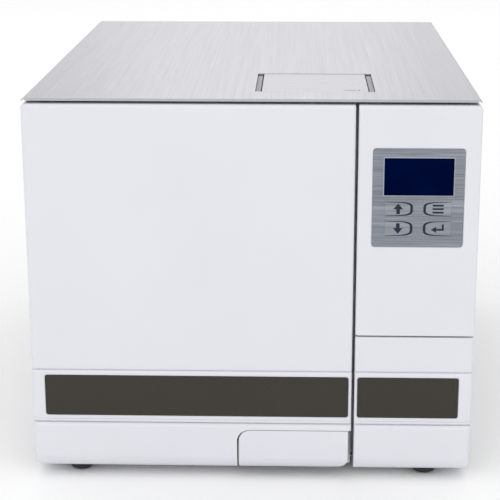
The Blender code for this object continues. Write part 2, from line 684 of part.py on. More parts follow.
def build_door():
    """Left door: cover, smoked strip, backing plate, pressure plate, seal, hinge and lever."""
    arms = (0.096, 0.330)
    cover = cover_solid("door_cover", -CASING_HALF_WIDTH, DOOR_RIGHT, BODY_BOTTOM, COVER_TOP,
                        (0.008, 0.0015, 0.0015, 0.0055), 0.004, (0.0045, 0.0025, 0.001, 0.006), WHITE)
    left, right = -CASING_HALF_WIDTH + WALL, DOOR_RIGHT - WALL
    inside, pocket_left = MAIN_FRONT + WALL, LEVER_LEFT - 0.0018
    cut(cover, box("door_hollow_main", (left, inside, PANEL_TOP), (right, -0.25, COVER_TOP - WALL)),
        box("door_hollow_low", (left, inside, HOLLOW_LOW), (pocket_left - WALL, -0.25, PANEL_TOP + 0.002)),
        box("door_hollow_panel", (left, PANEL_FRONT + WALL, 0.026), (pocket_left - WALL, -0.29, 0.061)),
        box("door_hollow_pocket", (pocket_left - 0.004, POCKET_FLOOR + 0.0025, HOLLOW_LOW),
            (right, -0.25, PANEL_TOP + 0.001)))
    pocket = rounded_rectangle(pocket_left, -0.01, 0.130, LEVER_HIGH + LEVER_GAP,
                               (0.001, 0.001, 0.001, LEVER_CORNER + LEVER_GAP), 6)
    cut(cover, plate("door_pocket", pocket, "Y", -0.33, POCKET_FLOOR))
    axis_x, axis_y = LEVER_AXIS
    join(cover, box("lever_lug_arm", (axis_x - LUG_RADIUS, axis_y, LUG_LOW),
                    (axis_x + LUG_RADIUS, POCKET_FLOOR + 0.001, LUG_HIGH)),
         rod("lever_lug", (axis_x, axis_y, LUG_LOW), (axis_x, axis_y, LUG_HIGH),
             LUG_RADIUS + 0.0001, sides=20))
    cut(cover, rod("lever_bore", (axis_x, axis_y, LUG_LOW - 0.01), (axis_x, axis_y, 0.0640),
                   0.0015, sides=14))
    arm_slots("door_arm_slot", cover, -1, arms)
    strip = strip_in_band("door_strip", cover, -0.2253, 0.1054)

    bracket = hinge_bracket("hinge_bracket", -1, arms, 0.090, 0.342)
    hinge_line = [Vector((-HINGE_X, HINGE_Y, z)) for z in (0.0925, 0.3395)]
    bore = rod("hinge_bore", hinge_line[0] - Vector((0, 0, 0.01)), hinge_line[1] + Vector((0, 0, 0.02)),
               PIN_RADIUS + GAP, sides=20)
    cut(bracket, bore)
    rod("hinge_pin", *hinge_line, PIN_RADIUS, POLISHED, 20)

    plate_front, plate_back = -0.2745, -0.2715
    backing = box("door_back_plate", (-0.225, plate_front, 0.020), (0.100, plate_back, 0.408), STEEL)
    knuckles = ((arms[0] + ARM_HEIGHT + GAP, 0.130), (0.302, arms[1] - GAP))
    for index, (low, high) in enumerate(knuckles):
        join(backing, rod(f"door_knuckle_{index}", (-HINGE_X, HINGE_Y, low), (-HINGE_X, HINGE_Y, high),
                          KNUCKLE_RADIUS, sides=20),
             box(f"door_knuckle_web_{index}", (-HINGE_X, plate_front, low), (-0.224, plate_back, high)))
    tongue_low = (0.086, plate_back - 0.001, LOCK_Z - 0.014)
    join(backing, box("door_tongue", tongue_low, (0.098, -0.2385, LOCK_Z + 0.014)))
    cut(backing, bore,
        rod("tongue_eye", (0.08, LOCK_Y, LOCK_Z), (0.11, LOCK_Y, LOCK_Z), 0.0035, sides=16))

    rim, thickness = 0.138, 0.0072
    disc = [(0.0, 0.0), (0.060, 0.0), (0.095, 0.004), (rim - 0.002, 0.004), (rim, 0.002),
            (rim, -thickness), (0.0, -thickness)]
    place = (CHAMBER_X, plate_back + GAP + thickness, CHAMBER_Z)
    pressure = turned("pressure_plate", disc, place, (0, 1, 0), POLISHED, steps=40)
    seal_front = place[1] + 0.004 + GAP
    seal_back = FLANGE_FRONT - GAP
    seal = [(0.1355, seal_back), (0.1355, seal_front), (0.1265, seal_front), (0.1265, seal_back)]
    gasket = turned("door_seal", seal, (CHAMBER_X, 0.0, CHAMBER_Z), (0, 1, 0), SILICONE,
                    steps=40, ring=True)

    door_axis = pivot("door_axis", (-HINGE_X, HINGE_Y, 0.2))
    carry(door_axis, cover, strip, backing, pressure, gasket)
    build_lever(door_axis)


def build_lever(door_axis):
    """Lever in the lower right of the door, turning on a pin near its left end."""
    axis_x, axis_y = LEVER_AXIS
    lever = cover_solid("door_lever", LEVER_LEFT, LEVER_RIGHT, LEVER_LOW, LEVER_HIGH,
                        (0.0015, LEVER_CORNER, 0.0015, LEVER_CORNER), 0.0008,
                        (0.0015, 0.0015, 0.001, 0.001), WHITE, LEVER_BACK)
    finger = box("lever_finger_cut", (0.012, PANEL_FRONT + 0.003, 0.020),
                 (LEVER_RIGHT - 0.003, -0.28, LEVER_HIGH - 0.004))
    notch = box("lever_notch", (-0.03, axis_y - LUG_RADIUS - 0.0005, LUG_LOW - 0.0005),
                (axis_x + 0.0055, -0.28, LUG_HIGH + 0.0005))
    cut(lever, finger, notch)
    join(lever, rod("lever_pin", (axis_x, axis_y, 0.0230), (axis_x, axis_y, 0.0632), 0.0012, sides=14))
    carry(door_axis, lever)
    lever_axis = pivot("lever_axis", (axis_x, axis_y, 0.035))
    carry(door_axis, lever_axis)
    carry(lever_axis, lever)


def build_lock():
    """Solenoid behind the frame and the pin that it drives into the door's tongue."""
    radius = 0.0025
    solenoid = box("lock_solenoid", (0.122, -0.2590, LOCK_Z - 0.012), (0.158, -0.2345, LOCK_Z + 0.012),
                   ZINC, CHAMFER)
    cut(solenoid, rod("solenoid_bore", (0.11, LOCK_Y, LOCK_Z), (0.152, LOCK_Y, LOCK_Z), radius + 0.0004,
                      sides=16))
    pin = rod("lock_pin", (LOCK_PIN_TIP, LOCK_Y, LOCK_Z), (0.148, LOCK_Y, LOCK_Z), radius, POLISHED,
              16, 0.0006)
    carry(pivot("lock_axis", (LOCK_PIN_TIP, LOCK_Y, LOCK_Z)), pin)


def build_fascia():
    """Fixed cover of the right column with the display, the keys and their circuit board."""
    right = CASING_HALF_WIDTH
    fascia = cover_solid("control_fascia", COLUMN_LEFT, right, FASCIA_BOTTOM, COVER_TOP,
                         (0.001, 0.001, 0.0055, 0.0015), 0.004, (0.0025, 0.0025, 0.001, 0.001), WHITE)
    cut(fascia, box("fascia_hollow", (COLUMN_LEFT + WALL, MAIN_FRONT + WALL, FASCIA_BOTTOM + WALL),
                    (right - WALL, -0.25, COVER_TOP - WALL)))
    for x in (0.1205, 0.2315):
        for z in (0.176, 0.410):
            join(fascia, rod(f"fascia_post_{x}_{z}", (x, MAIN_FRONT + WALL - 0.001, z),
                             (x, FRAME_FRONT - GAP, z), 0.0035, sides=14))

    gap = 0.0004
    recess = rounded_rectangle(PLATE_LEFT - gap, PLATE_LOW - gap, PLATE_RIGHT + gap, PLATE_HIGH + gap,
                               (0.0034,) * 4)
    outline = rounded_rectangle(PLATE_LEFT, PLATE_LOW, PLATE_RIGHT, PLATE_HIGH, (0.003,) * 4)
    cut(fascia, plate("fascia_plate_recess", recess, "Y", -0.32, MAIN_FRONT + 0.0010))
    face = plate("display_plate", outline, "Y", MAIN_FRONT - GAP, MAIN_FRONT + 0.0010 - GAP, KEYPLATE)
    window = box("window_hole", (WINDOW_LEFT, -0.32, WINDOW_LOW), (WINDOW_RIGHT, -0.295, WINDOW_HIGH))
    cut(fascia, window)
    cut(face, window)
    module = box("display_module", (WINDOW_LEFT + GAP, MAIN_FRONT, WINDOW_LOW + GAP),
                 (WINDOW_RIGHT - GAP, -0.298, WINDOW_HIGH - GAP), SCREEN)
    join(module, box("module_body", (WINDOW_LEFT - 0.005, MAIN_FRONT + WALL + GAP, WINDOW_LOW - 0.005),
                     (WINDOW_RIGHT + 0.005, -0.289, WINDOW_HIGH + 0.005)))
    box("control_board", (0.124, -0.2865, 0.255), (0.228, -0.2849, 0.378), BOARD)

    for row, (low, high) in enumerate(KEY_ROWS):
        for column, (left_edge, right_edge) in enumerate(KEY_COLUMNS):
            name = KEY_NAMES[row][column]
            hole = box(name + "_hole", (left_edge, -0.32, low), (right_edge, -0.295, high))
            cut(fascia, hole)
            cut(face, hole)
            key = box(name, (left_edge + gap, MAIN_FRONT - GAP, low + gap),
                      (right_edge - gap, MAIN_FRONT + 0.006, high - gap), KEYPLATE, 0.0003)
            carry(pivot(name + "_axis", ((left_edge + right_edge) / 2, MAIN_FRONT, (low + high) / 2)), key)


def build_service_door():
    """Lower right door over the drains, the filter and the mains switch."""
    arms = (0.036, 0.140)
    right = CASING_HALF_WIDTH
    door = cover_solid("service_door", COLUMN_LEFT, right, BODY_BOTTOM, SERVICE_TOP,
                       (0.0015, 0.008, 0.001, 0.001), 0.001, (0.0025, 0.0045, 0.006, 0.001), WHITE)
    cut(door, box("service_hollow", (COLUMN_LEFT + WALL, MAIN_FRONT + WALL, HOLLOW_LOW),
                  (right - WALL, -0.25, SERVICE_TOP - WALL)),
        box("service_hollow_panel", (COLUMN_LEFT + WALL, PANEL_FRONT + WALL, 0.026),
            (right - WALL, -0.29, 0.061)))
    arm_slots("service_arm_slot", door, 1, arms)
    knuckles = ((arms[0] + ARM_HEIGHT + GAP, 0.056), (0.124, arms[1] - GAP))
    for index, (low, high) in enumerate(knuckles):
        join(door, rod(f"service_knuckle_{index}", (HINGE_X, HINGE_Y, low), (HINGE_X, HINGE_Y, high),
                       KNUCKLE_RADIUS, sides=20),
             box(f"service_knuckle_web_{index}", (HINGE_X - 0.0025, cover_front(high) + 0.001, low),
                 (HINGE_X + 0.0025, HINGE_Y, high)))
    cut(door, rod("service_bore", (HINGE_X, HINGE_Y, arms[0] - 0.006), (HINGE_X, HINGE_Y, arms[1] + 0.010),
                  PIN_RADIUS, sides=20))
    strip = strip_in_band("service_strip", door, 0.1153, 0.2248)
    carry(pivot("service_axis", (HINGE_X, HINGE_Y, 0.09)), door, strip)

    hinge = hinge_bracket("service_hinge", 1, arms, 0.030, 0.152)
    join(hinge, rod("service_pin", (HINGE_X, HINGE_Y, arms[0] + 0.001), (HINGE_X, HINGE_Y, arms[1] + 0.005),
                    PIN_RADIUS - GAP, sides=20))


def build_service_panel():
    """Recessed panel with two drain taps, the air filter and the mains rocker switch."""
    back = FRAME_FRONT + 0.002 + GAP
    panel = box("service_panel", (0.120, back, 0.024), (0.230, back + 0.0015, 0.156), ZINC)
    fitting = [(0.0, 0.026), (0.0065, 0.026), (0.0065, 0.014), (0.009, 0.014), (0.009, 0.003),
               (0.011, 0.003), (0.011, 0.0), (0.0045, 0.0), (0.0045, -0.012), (0.0, -0.012)]
    knob = [(0.0, 0.006), (0.011, 0.006), (0.012, 0.005), (0.012, 0.001), (0.011, 0.0), (0.0, 0.0)]
    for use, x in (("clean", 0.147), ("waste", 0.187)):
        place = (x, back - GAP, 0.060)
        cut(panel, rod(f"panel_hole_{use}", (x, -0.27, 0.060), (x, -0.25, 0.060), 0.005, sides=16))
        turned(f"drain_tap_{use}", fitting, place, (0, -1, 0), BRASS, steps=16)
        front = (x, place[1] - 0.026 - GAP, 0.060)
        tap = turned(f"drain_knob_{use}", knob, front, (0, -1, 0), BLACK, steps=16)
        join(tap, box(f"knob_bar_{use}", (x - 0.003, front[1] - 0.0085, 0.050),
                      (x + 0.003, front[1] - 0.003, 0.070)))
        carry(pivot(f"drain_knob_{use}_axis", front), tap)

    air = [(0.0, 0.024), (0.007, 0.024), (0.007, 0.018), (0.019, 0.016), (0.020, 0.014), (0.020, 0.006),
           (0.019, 0.004), (0.006, 0.002), (0.006, 0.0), (0.0, 0.0)]
    turned("air_filter", air, (0.187, back - GAP, 0.118), (0, -1, 0), WHITE, steps=24)

    low, high = Vector((0.137, back, 0.1085)), Vector((0.157, back, 0.1275))
    cut(panel, box("rocker_hole", (low.x, -0.27, low.z), (high.x, -0.25, high.z)))
    centre = (low + high) / 2
    outline = [(0.0095, -0.0085), (-0.0044, -0.0085), (-0.0035, 0.0), (-0.0062, 0.0085), (0.0095, 0.0085)]
    rocker = plate("power_rocker", [(centre.y + y, centre.z + z) for y, z in outline], "X",
                   low.x + 0.0006, high.x - 0.0006, BLACK)
    carry(pivot("power_rocker_axis", centre), rocker)


def main():
    build_casing()
    build_side_screws()
    build_base()
    build_front_frame()
    build_back_panel()
    build_chamber()
    build_steam_supply()
    build_tray_rack()
    build_tank()
    build_vacuum_pump()
    build_cooling()
    build_electrics()
    build_door()
    build_lock()
    build_fascia()
    build_service_door()
    build_service_panel()


main()
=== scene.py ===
"""Looks for the benchtop autoclave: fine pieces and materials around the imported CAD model.

Metres, +Z up, the front faces -Y. Places come from the CAD nodes' boxes.
"""
import math

import bmesh
import bpy
from mathutils import Matrix, Vector


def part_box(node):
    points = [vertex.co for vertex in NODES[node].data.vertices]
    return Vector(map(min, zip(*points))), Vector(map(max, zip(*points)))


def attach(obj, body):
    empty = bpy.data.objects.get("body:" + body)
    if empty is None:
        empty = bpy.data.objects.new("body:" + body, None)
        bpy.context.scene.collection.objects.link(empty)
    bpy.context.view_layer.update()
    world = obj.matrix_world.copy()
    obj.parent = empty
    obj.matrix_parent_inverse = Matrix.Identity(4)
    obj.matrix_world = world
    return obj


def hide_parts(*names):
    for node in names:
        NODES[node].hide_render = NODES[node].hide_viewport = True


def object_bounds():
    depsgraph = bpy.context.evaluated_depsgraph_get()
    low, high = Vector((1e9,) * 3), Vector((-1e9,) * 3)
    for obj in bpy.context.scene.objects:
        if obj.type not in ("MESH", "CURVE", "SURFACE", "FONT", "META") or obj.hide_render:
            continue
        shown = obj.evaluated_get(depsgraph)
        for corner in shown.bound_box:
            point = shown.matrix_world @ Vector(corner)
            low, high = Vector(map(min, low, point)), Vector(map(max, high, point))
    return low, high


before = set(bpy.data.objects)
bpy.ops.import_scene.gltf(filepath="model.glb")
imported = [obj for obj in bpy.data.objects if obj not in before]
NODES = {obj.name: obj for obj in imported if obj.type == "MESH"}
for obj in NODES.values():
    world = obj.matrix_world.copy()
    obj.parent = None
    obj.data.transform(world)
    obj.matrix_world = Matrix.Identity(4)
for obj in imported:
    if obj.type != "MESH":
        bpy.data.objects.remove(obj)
CAD_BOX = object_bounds()
HIGH = CAD_BOX[1]

# Shape of the sheet-metal body
BODY_BOTTOM = 0.010
SHEET = 0.0015
BEND = 0.0045
LIP_HEIGHT = 0.0028
LIP_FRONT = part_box("outer_casing")[0].y
FRAME_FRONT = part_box("front_frame")[0].y
HALF_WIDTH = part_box("outer_casing")[1].x
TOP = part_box("outer_casing")[1].z

# Shape of the front covers
WALL = 0.003
GAP = 0.0003
MAIN_FRONT = -0.303
BAND_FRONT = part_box("door_strip")[0].y
PANEL_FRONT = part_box("door_cover")[0].y
COVER_BACK = -0.268
BAND_TOP = 0.125
PANEL_TOP = 0.066
CURL_RADIUS = 0.018
HOLLOW_LOW = 0.0145
LEVER_TOP = 0.0584
LEVER_CORNER = 0.0125
LEVER_GAP = 0.0008
LEVER_AXIS = (-0.0095, -0.3065)
LUG_RADIUS = 0.0022
LUG_LOW, LUG_HIGH = 0.0245, 0.0285
POCKET_FLOOR = -0.285
GROOVE = 0.0006
GROOVE_DEPTH = 0.0010
BEAD = 0.0030
BEAD_HEIGHT = 0.0009
PANEL_INSET = 0.0012
HINGE_X, HINGE_Y = 0.2315, -0.2745
ARM_HEIGHT = 0.006
DOOR_ARMS = (0.096, 0.330)
SERVICE_ARMS = (0.036, 0.140)

ARC_STEPS = 8


# ---------------------------------------------------------------- material nodes

def new_material(name, colour, roughness, metallic=0.0, coat=0.0, specular=0.5):
    material = bpy.data.materials.new(name)
    material.use_nodes = True
    shader = material.node_tree.nodes["Principled BSDF"]
    shader.inputs["Base Color"].default_value = (*colour, 1.0)
    shader.inputs["Roughness"].default_value = roughness
    shader.inputs["Metallic"].default_value = metallic
    shader.inputs["Coat Weight"].default_value = coat
    shader.inputs["Coat Roughness"].default_value = 0.08
    shader.inputs["Specular IOR Level"].default_value = specular
    return material, shader


def add_node(material, kind, **values):
    node = material.node_tree.nodes.new(kind)
    for name, value in values.items():
        setattr(node, name, value)
    return node


def noise(material, scale, stretch=(1.0, 1.0, 1.0), detail=3.0, rough=0.55):
    """Noise in the row frame; stretch below 1 on an axis draws it out along that axis."""
    tree = material.node_tree
    place = add_node(material, "ShaderNodeTexCoord")
    mapping = add_node(material, "ShaderNodeMapping")
    mapping.inputs["Scale"].default_value = stretch
    texture = add_node(material, "ShaderNodeTexNoise")
    texture.inputs["Scale"].default_value = scale
    texture.inputs["Detail"].default_value = detail
    texture.inputs["Roughness"].default_value = rough
    tree.links.new(place.outputs["Object"], mapping.inputs["Vector"])
    tree.links.new(mapping.outputs["Vector"], texture.inputs["Vector"])
    return texture.outputs["Fac"]


def ranged(material, source, low, high, from_low=0.3, from_high=0.7):
    node = add_node(material, "ShaderNodeMapRange")
    node.inputs["From Min"].default_value = from_low
    node.inputs["From Max"].default_value = from_high
    node.inputs["To Min"].default_value = low
    node.inputs["To Max"].default_value = high
    material.node_tree.links.new(source, node.inputs["Value"])
    return node.outputs["Result"]


def mixed(material, factor, first, second):
    """A colour between two colours or colour outputs, by a factor output."""
    node = add_node(material, "ShaderNodeMix", data_type="RGBA")
    links = material.node_tree.links
    links.new(factor, node.inputs["Factor"])
    for socket, value in ((node.inputs[6], first), (node.inputs[7], second)):
        if isinstance(value, tuple):
            socket.default_value = (*value, 1.0)
        else:
            links.new(value, socket)
    return node.outputs[2]


def colour_from(material, shader, output):
    material.node_tree.links.new(output, shader.inputs["Base Color"])


def roughness_from(material, shader, output):
    material.node_tree.links.new(output, shader.inputs["Roughness"])


def relief(material, shader, height, strength, distance):
    bump = add_node(material, "ShaderNodeBump")
    bump.inputs["Strength"].default_value = strength
    bump.inputs["Distance"].default_value = distance
    material.node_tree.links.new(height, bump.inputs["Height"])
    material.node_tree.links.new(bump.outputs["Normal"], shader.inputs["Normal"])


def shaded(colour, factor):
    return tuple(min(channel * factor, 1.0) for channel in colour)


def moulded(name, colour, roughness, grain=900.0, strength=0.12, tint=0.03, coat=0.0, specular=0.5):
    """Moulded plastic or paint: fine grain, slow clouds of tone, slightly uneven gloss."""
    material, shader = new_material(name, colour, roughness, coat=coat, specular=specular)
    fine = noise(material, grain, detail=2.0)
    slow = noise(material, 9.0, detail=2.0)
    tone = ranged(material, slow, 0.0, 1.0)
    colour_from(material, shader, mixed(material, tone, shaded(colour, 1 - tint), shaded(colour, 1 + tint)))
    roughness_from(material, shader, ranged(material, slow, roughness * 0.85, roughness * 1.15))
    relief(material, shader, fine, strength, 0.00008)
    return material


def brushed(name, colour, roughness, stretch, strength=0.25, tint=0.10, coat=0.0):
    """Metal drawn over an abrasive: fine streaks of tone, gloss and relief along one axis."""
    material, shader = new_material(name, colour, roughness, 1.0, coat=coat)
    streak = noise(material, 900.0, stretch, detail=4.0, rough=0.7)
    broad = noise(material, 60.0, stretch, detail=2.0)
    cloud = noise(material, 5.0, detail=1.0)
    fine_tone = mixed(material, ranged(material, streak, 0.0, 1.0), shaded(colour, 1 - tint),
                      shaded(colour, 1 + tint))
    broad_tone = mixed(material, ranged(material, broad, 0.0, 0.5), fine_tone, shaded(colour, 1 - tint))
    colour_from(material, shader, mixed(material, ranged(material, cloud, 0.0, 0.25), broad_tone,
                                        shaded(colour, 1 + tint)))
    roughness_from(material, shader, ranged(material, streak, roughness * 0.8, roughness * 1.25))
    relief(material, shader, streak, strength, 0.00003)
    return material


def galvanised(name, colour):
    """Zinc plate with soft spangle."""
    material, shader = new_material(name, colour, 0.42, 0.9)
    place = add_node(material, "ShaderNodeTexCoord")
    cells = add_node(material, "ShaderNodeTexVoronoi", feature="F1")
    cells.inputs["Scale"].default_value = 120.0
    material.node_tree.links.new(place.outputs["Object"], cells.inputs["Vector"])
    slow = noise(material, 14.0)
    flake = mixed(material, ranged(material, cells.outputs["Color"], 0.0, 1.0, 0.0, 1.0),
                  shaded(colour, 0.86), shaded(colour, 1.12))
    clouded = mixed(material, ranged(material, slow, 0.0, 0.5), flake, shaded(colour, 0.9))
    colour_from(material, shader, clouded)
    roughness_from(material, shader, ranged(material, cells.outputs["Color"], 0.34, 0.52, 0.0, 1.0))
    relief(material, shader, slow, 0.1, 0.0002)
    return material


def fibrous(name, colour):
    """Glass-wool blanket: matted fibres and lumps."""
    material, shader = new_material(name, colour, 0.95, specular=0.1)
    fibre = noise(material, 500.0, (1.0, 0.25, 1.0), detail=6.0, rough=0.8)
    lump = noise(material, 45.0, detail=3.0)
    light = mixed(material, ranged(material, fibre, 0.0, 1.0), shaded(colour, 0.6), shaded(colour, 1.2))
    lumpy = mixed(material, ranged(material, lump, 0.0, 0.5), light, shaded(colour, 0.7))
    colour_from(material, shader, lumpy)
    roughness_from(material, shader, ranged(material, fibre, 0.85, 1.0))
    relief(material, shader, fibre, 0.8, 0.0012)
    return material


def screen_glass(name, colour):
    """Unlit liquid-crystal screen: deep blue with its fine dot grid."""
    material, shader = new_material(name, colour, 0.08, specular=0.0)
    place = add_node(material, "ShaderNodeTexCoord")
    grid = add_node(material, "ShaderNodeTexBrick", offset=0.0)
    grid.inputs["Scale"].default_value = 1.0
    grid.inputs["Brick Width"].default_value = 0.00055
    grid.inputs["Row Height"].default_value = 0.00055
    grid.inputs["Mortar Size"].default_value = 0.00006
    grid.inputs["Color1"].default_value = (*colour, 1.0)
    grid.inputs["Color2"].default_value = (*shaded(colour, 1.15), 1.0)
    grid.inputs["Mortar"].default_value = (*shaded(colour, 0.5), 1.0)
    swap = add_node(material, "ShaderNodeMapping")
    swap.inputs["Rotation"].default_value = (math.pi / 2, 0.0, 0.0)
    material.node_tree.links.new(place.outputs["Object"], swap.inputs["Vector"])
    material.node_tree.links.new(swap.outputs["Vector"], grid.inputs["Vector"])
    glow = noise(material, 30.0, detail=1.0)
    colour_from(material, shader, mixed(material, ranged(material, glow, 0.0, 0.6), grid.outputs["Color"],
                                        shaded(colour, 1.5)))
    roughness_from(material, shader, ranged(material, glow, 0.10, 0.16))
    return material


def circuit(name, colour):
    """Solder mask over copper tracks."""
    material, shader = new_material(name, colour, 0.45, coat=0.3)
    place = add_node(material, "ShaderNodeTexCoord")
    tracks = add_node(material, "ShaderNodeTexVoronoi", feature="DISTANCE_TO_EDGE", distance="MANHATTAN")
    tracks.inputs["Scale"].default_value = 220.0
    tracks.inputs["Randomness"].default_value = 0.35
    material.node_tree.links.new(place.outputs["Object"], tracks.inputs["Vector"])
    line = ranged(material, tracks.outputs["Distance"], 1.0, 0.0, 0.02, 0.06)
    colour_from(material, shader, mixed(material, line, colour, shaded(colour, 2.2)))
    roughness_from(material, shader, ranged(material, tracks.outputs["Distance"], 0.35, 0.55, 0.0, 0.3))
    relief(material, shader, line, 0.3, 0.0001)
    return material


def flowing(name, colour, roughness, scale, strength, metallic=0.0, coat=0.0):
    """Soft irregular surface such as rubber, cast metal or satin steel."""
    material, shader = new_material(name, colour, roughness, metallic, coat=coat)
    fine = noise(material, scale, detail=4.0)
    slow = noise(material, 20.0, detail=3.0)
    colour_from(material, shader, mixed(material, ranged(material, slow, 0.0, 1.0), shaded(colour, 0.85),
                                        shaded(colour, 1.15)))
    roughness_from(material, shader, ranged(material, fine, roughness * 0.85, min(roughness * 1.2, 1.0)))
    relief(material, shader, fine, strength, 0.0001)
    return material


STEEL_TOP = brushed("casing_steel", (0.462, 0.453, 0.492), 0.33, (1.0, 0.006, 1.0), 0.08, 0.035)
STEEL_LID = brushed("lid_steel", (0.432, 0.424, 0.460), 0.30, (0.006, 1.0, 1.0), 0.10, 0.05)
STEEL_PLATE = brushed("door_steel", (0.58, 0.585, 0.60), 0.30, (1.0, 1.0, 0.015), 0.2, 0.08)
POLISHED = flowing("polished_steel_fine", (0.72, 0.72, 0.74), 0.16, 500.0, 0.05, 1.0)
TURNED_STEEL = brushed("chamber_steel", (0.70, 0.70, 0.72), 0.20, (1.0, 0.02, 1.0), 0.12, 0.05)
FINS = brushed("fin_aluminium", (0.74, 0.74, 0.75), 0.35, (1.0, 1.0, 0.02), 0.2, 0.06)
ZINC = galvanised("galvanised_sheet", (0.50, 0.51, 0.52))
COVER_WHITE = moulded("cover_white", (0.672, 0.676, 0.722), 0.34, 1300.0, 0.06, 0.010, coat=0.1)
FILTER_WHITE = moulded("filter_white", (0.80, 0.80, 0.79), 0.45, 900.0, 0.12, 0.03)
SMOKED = moulded("smoked_strip", (0.034, 0.030, 0.023), 0.26, 1500.0, 0.05, 0.03, specular=0.25)
PANEL_METAL = brushed("panel_metal_brushed", (0.262, 0.280, 0.318), 0.36, (0.012, 1.0, 1.0), 0.35, 0.50)
KEY_METAL = brushed("key_metal_brushed", (0.285, 0.310, 0.335), 0.34, (0.012, 1.0, 1.0), 0.35, 0.38)
KEY_INK = moulded("key_ink", (0.018, 0.026, 0.044), 0.55, 900.0, 0.05, 0.05, specular=0.15)
BEZEL = brushed("window_bezel", (0.42, 0.44, 0.50), 0.25, (0.02, 1.0, 1.0), 0.15, 0.08)
SCREEN = screen_glass("lcd_blue", (0.0002, 0.0028, 0.026))
RUBBER = flowing("foot_rubber", (0.018, 0.018, 0.018), 0.70, 400.0, 0.25)
SILICONE = flowing("seal_silicone", (0.52, 0.09, 0.055), 0.50, 250.0, 0.15)
WOOL = fibrous("wool_blanket", (0.62, 0.58, 0.45))
BRASS = flowing("cast_brass", (0.62, 0.44, 0.18), 0.32, 600.0, 0.12, 1.0)
BLACK = moulded("black_moulding", (0.028, 0.028, 0.030), 0.48, 800.0, 0.2, 0.15)
GRIP_GREY = moulded("grip_moulding", (0.42, 0.42, 0.44), 0.50, 800.0, 0.2, 0.06)
TANK = moulded("tank_polymer", (0.70, 0.74, 0.76), 0.38, 300.0, 0.15, 0.03)
BOARD = circuit("board_green", (0.02, 0.15, 0.06))
MOTOR = flowing("motor_enamel", (0.11, 0.13, 0.16), 0.42, 300.0, 0.15, coat=0.3)


# ---------------------------------------------------------------- mesh helpers

def link(name, mesh):
    obj = bpy.data.objects.new(name, mesh)
    bpy.context.scene.collection.objects.link(obj)
    return obj


def mesh_from(bm, name):
    bmesh.ops.recalc_face_normals(bm, faces=bm.faces)
    mesh = bpy.data.meshes.new(name)
    bm.to_mesh(mesh)
    bm.free()
    return mesh


def arc(centre, radius, start, steps=ARC_STEPS):
    """Points of a quarter turn that starts at an angle given in quarter turns."""
    points = []
    for i in range(steps + 1):
        angle = (start + i / steps) * math.pi / 2
        points.append((centre[0] + radius * math.cos(angle), centre[1] + radius * math.sin(angle)))
    return points


def rounded(u0, v0, u1, v1, radii, steps=ARC_STEPS):
    """Anticlockwise outline; radii are for the corners (u0,v0), (u1,v0), (u1,v1), (u0,v1)."""
    if isinstance(radii, float):
        radii = (radii,) * 4
    first, second, third, fourth = radii
    return (arc((u0 + first, v0 + first), first, 2, steps)
            + arc((u1 - second, v0 + second), second, 3, steps)
            + arc((u1 - third, v1 - third), third, 0, steps)
            + arc((u0 + fourth, v1 - fourth), fourth, 1, steps))


AXES = {"X": lambda u, v, w: (w, u, v), "Y": lambda u, v, w: (u, w, v), "Z": lambda u, v, w: (u, v, w)}


def lofted(name, rings, axis):
    """Join closed outlines, each at its own place along an axis, into one solid."""
    bm = bmesh.new()
    place = AXES[axis]
    levels = [[bm.verts.new(place(u, v, w)) for u, v in ring] for w, ring in rings]
    count = len(levels[0])
    for lower, upper in zip(levels, levels[1:]):
        for i in range(count):
            j = (i + 1) % count
            bm.faces.new((lower[i], lower[j], upper[j], upper[i]))
    bm.faces.new(levels[0])
    bm.faces.new(levels[-1])
    bmesh.ops.remove_doubles(bm, verts=bm.verts, dist=1e-7)
    return link(name, mesh_from(bm, name))


def slab(name, box, radii, axis, edge=0.0, front_only=False):
    """Rounded rectangle (u0, v0, u1, v1) with thickness (low, high) along an axis.

    Its edges at both ends, or only at the low end, are rounded by edge.
    """
    (u0, v0, u1, v1), (low, high) = box
    if isinstance(radii, float):
        radii = (radii,) * 4
    rings = []
    steps = 5
    for i in range(steps + 1):
        angle = i / steps * math.pi / 2
        inset = edge * (1 - math.sin(angle))
        rings.append((low + edge * (1 - math.cos(angle)), inset))
    if front_only:
        rings.append((high, 0.0))
    else:
        rings += [(low + high - w, inset) for w, inset in reversed(rings)]
    if not edge:
        rings = [(low, 0.0), (high, 0.0)]
    outlines = []
    for w, inset in rings:
        inner_radii = tuple(max(radius - inset, 0.00005) for radius in radii)
        outlines.append((w, rounded(u0 + inset, v0 + inset, u1 - inset, v1 - inset, inner_radii)))
    return lofted(name, outlines, axis)


def block(name, low, high, edge=0.0):
    """A block between two opposite corners with rounded edges."""
    low, high = Vector(low), Vector(high)
    bm = bmesh.new()
    bmesh.ops.create_cube(bm, size=1.0, matrix=Matrix.Translation((low + high) / 2)
                          @ Matrix.Diagonal((*(high - low), 1.0)))
    if edge:
        bmesh.ops.bevel(bm, geom=bm.edges[:], offset=edge, segments=3, affect="EDGES", profile=0.5)
    return link(name, mesh_from(bm, name))


def turned(name, profile, base, direction, steps=64):
    """Turn a profile of (radius, height) points about an axis through base."""
    spin = Vector(direction).to_track_quat("Z", "Y").to_matrix().to_4x4()
    move = Matrix.Translation(base) @ spin
    bm = bmesh.new()
    rows = []
    for radius, height in profile:
        if radius < 1e-6:
            rows.append([bm.verts.new(move @ Vector((0, 0, height)))])
            continue
        row = []
        for i in range(steps):
            angle = 2 * math.pi * i / steps
            point = Vector((radius * math.cos(angle), radius * math.sin(angle), height))
            row.append(bm.verts.new(move @ point))
        rows.append(row)
    if profile[0][0] > 1e-6:
        rows.append(rows[0])
    for first, second in zip(rows, rows[1:]):
        for i in range(steps):
            j = (i + 1) % steps
            corners = [first[i % len(first)], first[j % len(first)],
                       second[j % len(second)], second[i % len(second)]]
            face = list(dict.fromkeys(corners))
            if len(face) > 2:
                bm.faces.new(face)
    return link(name, mesh_from(bm, name))


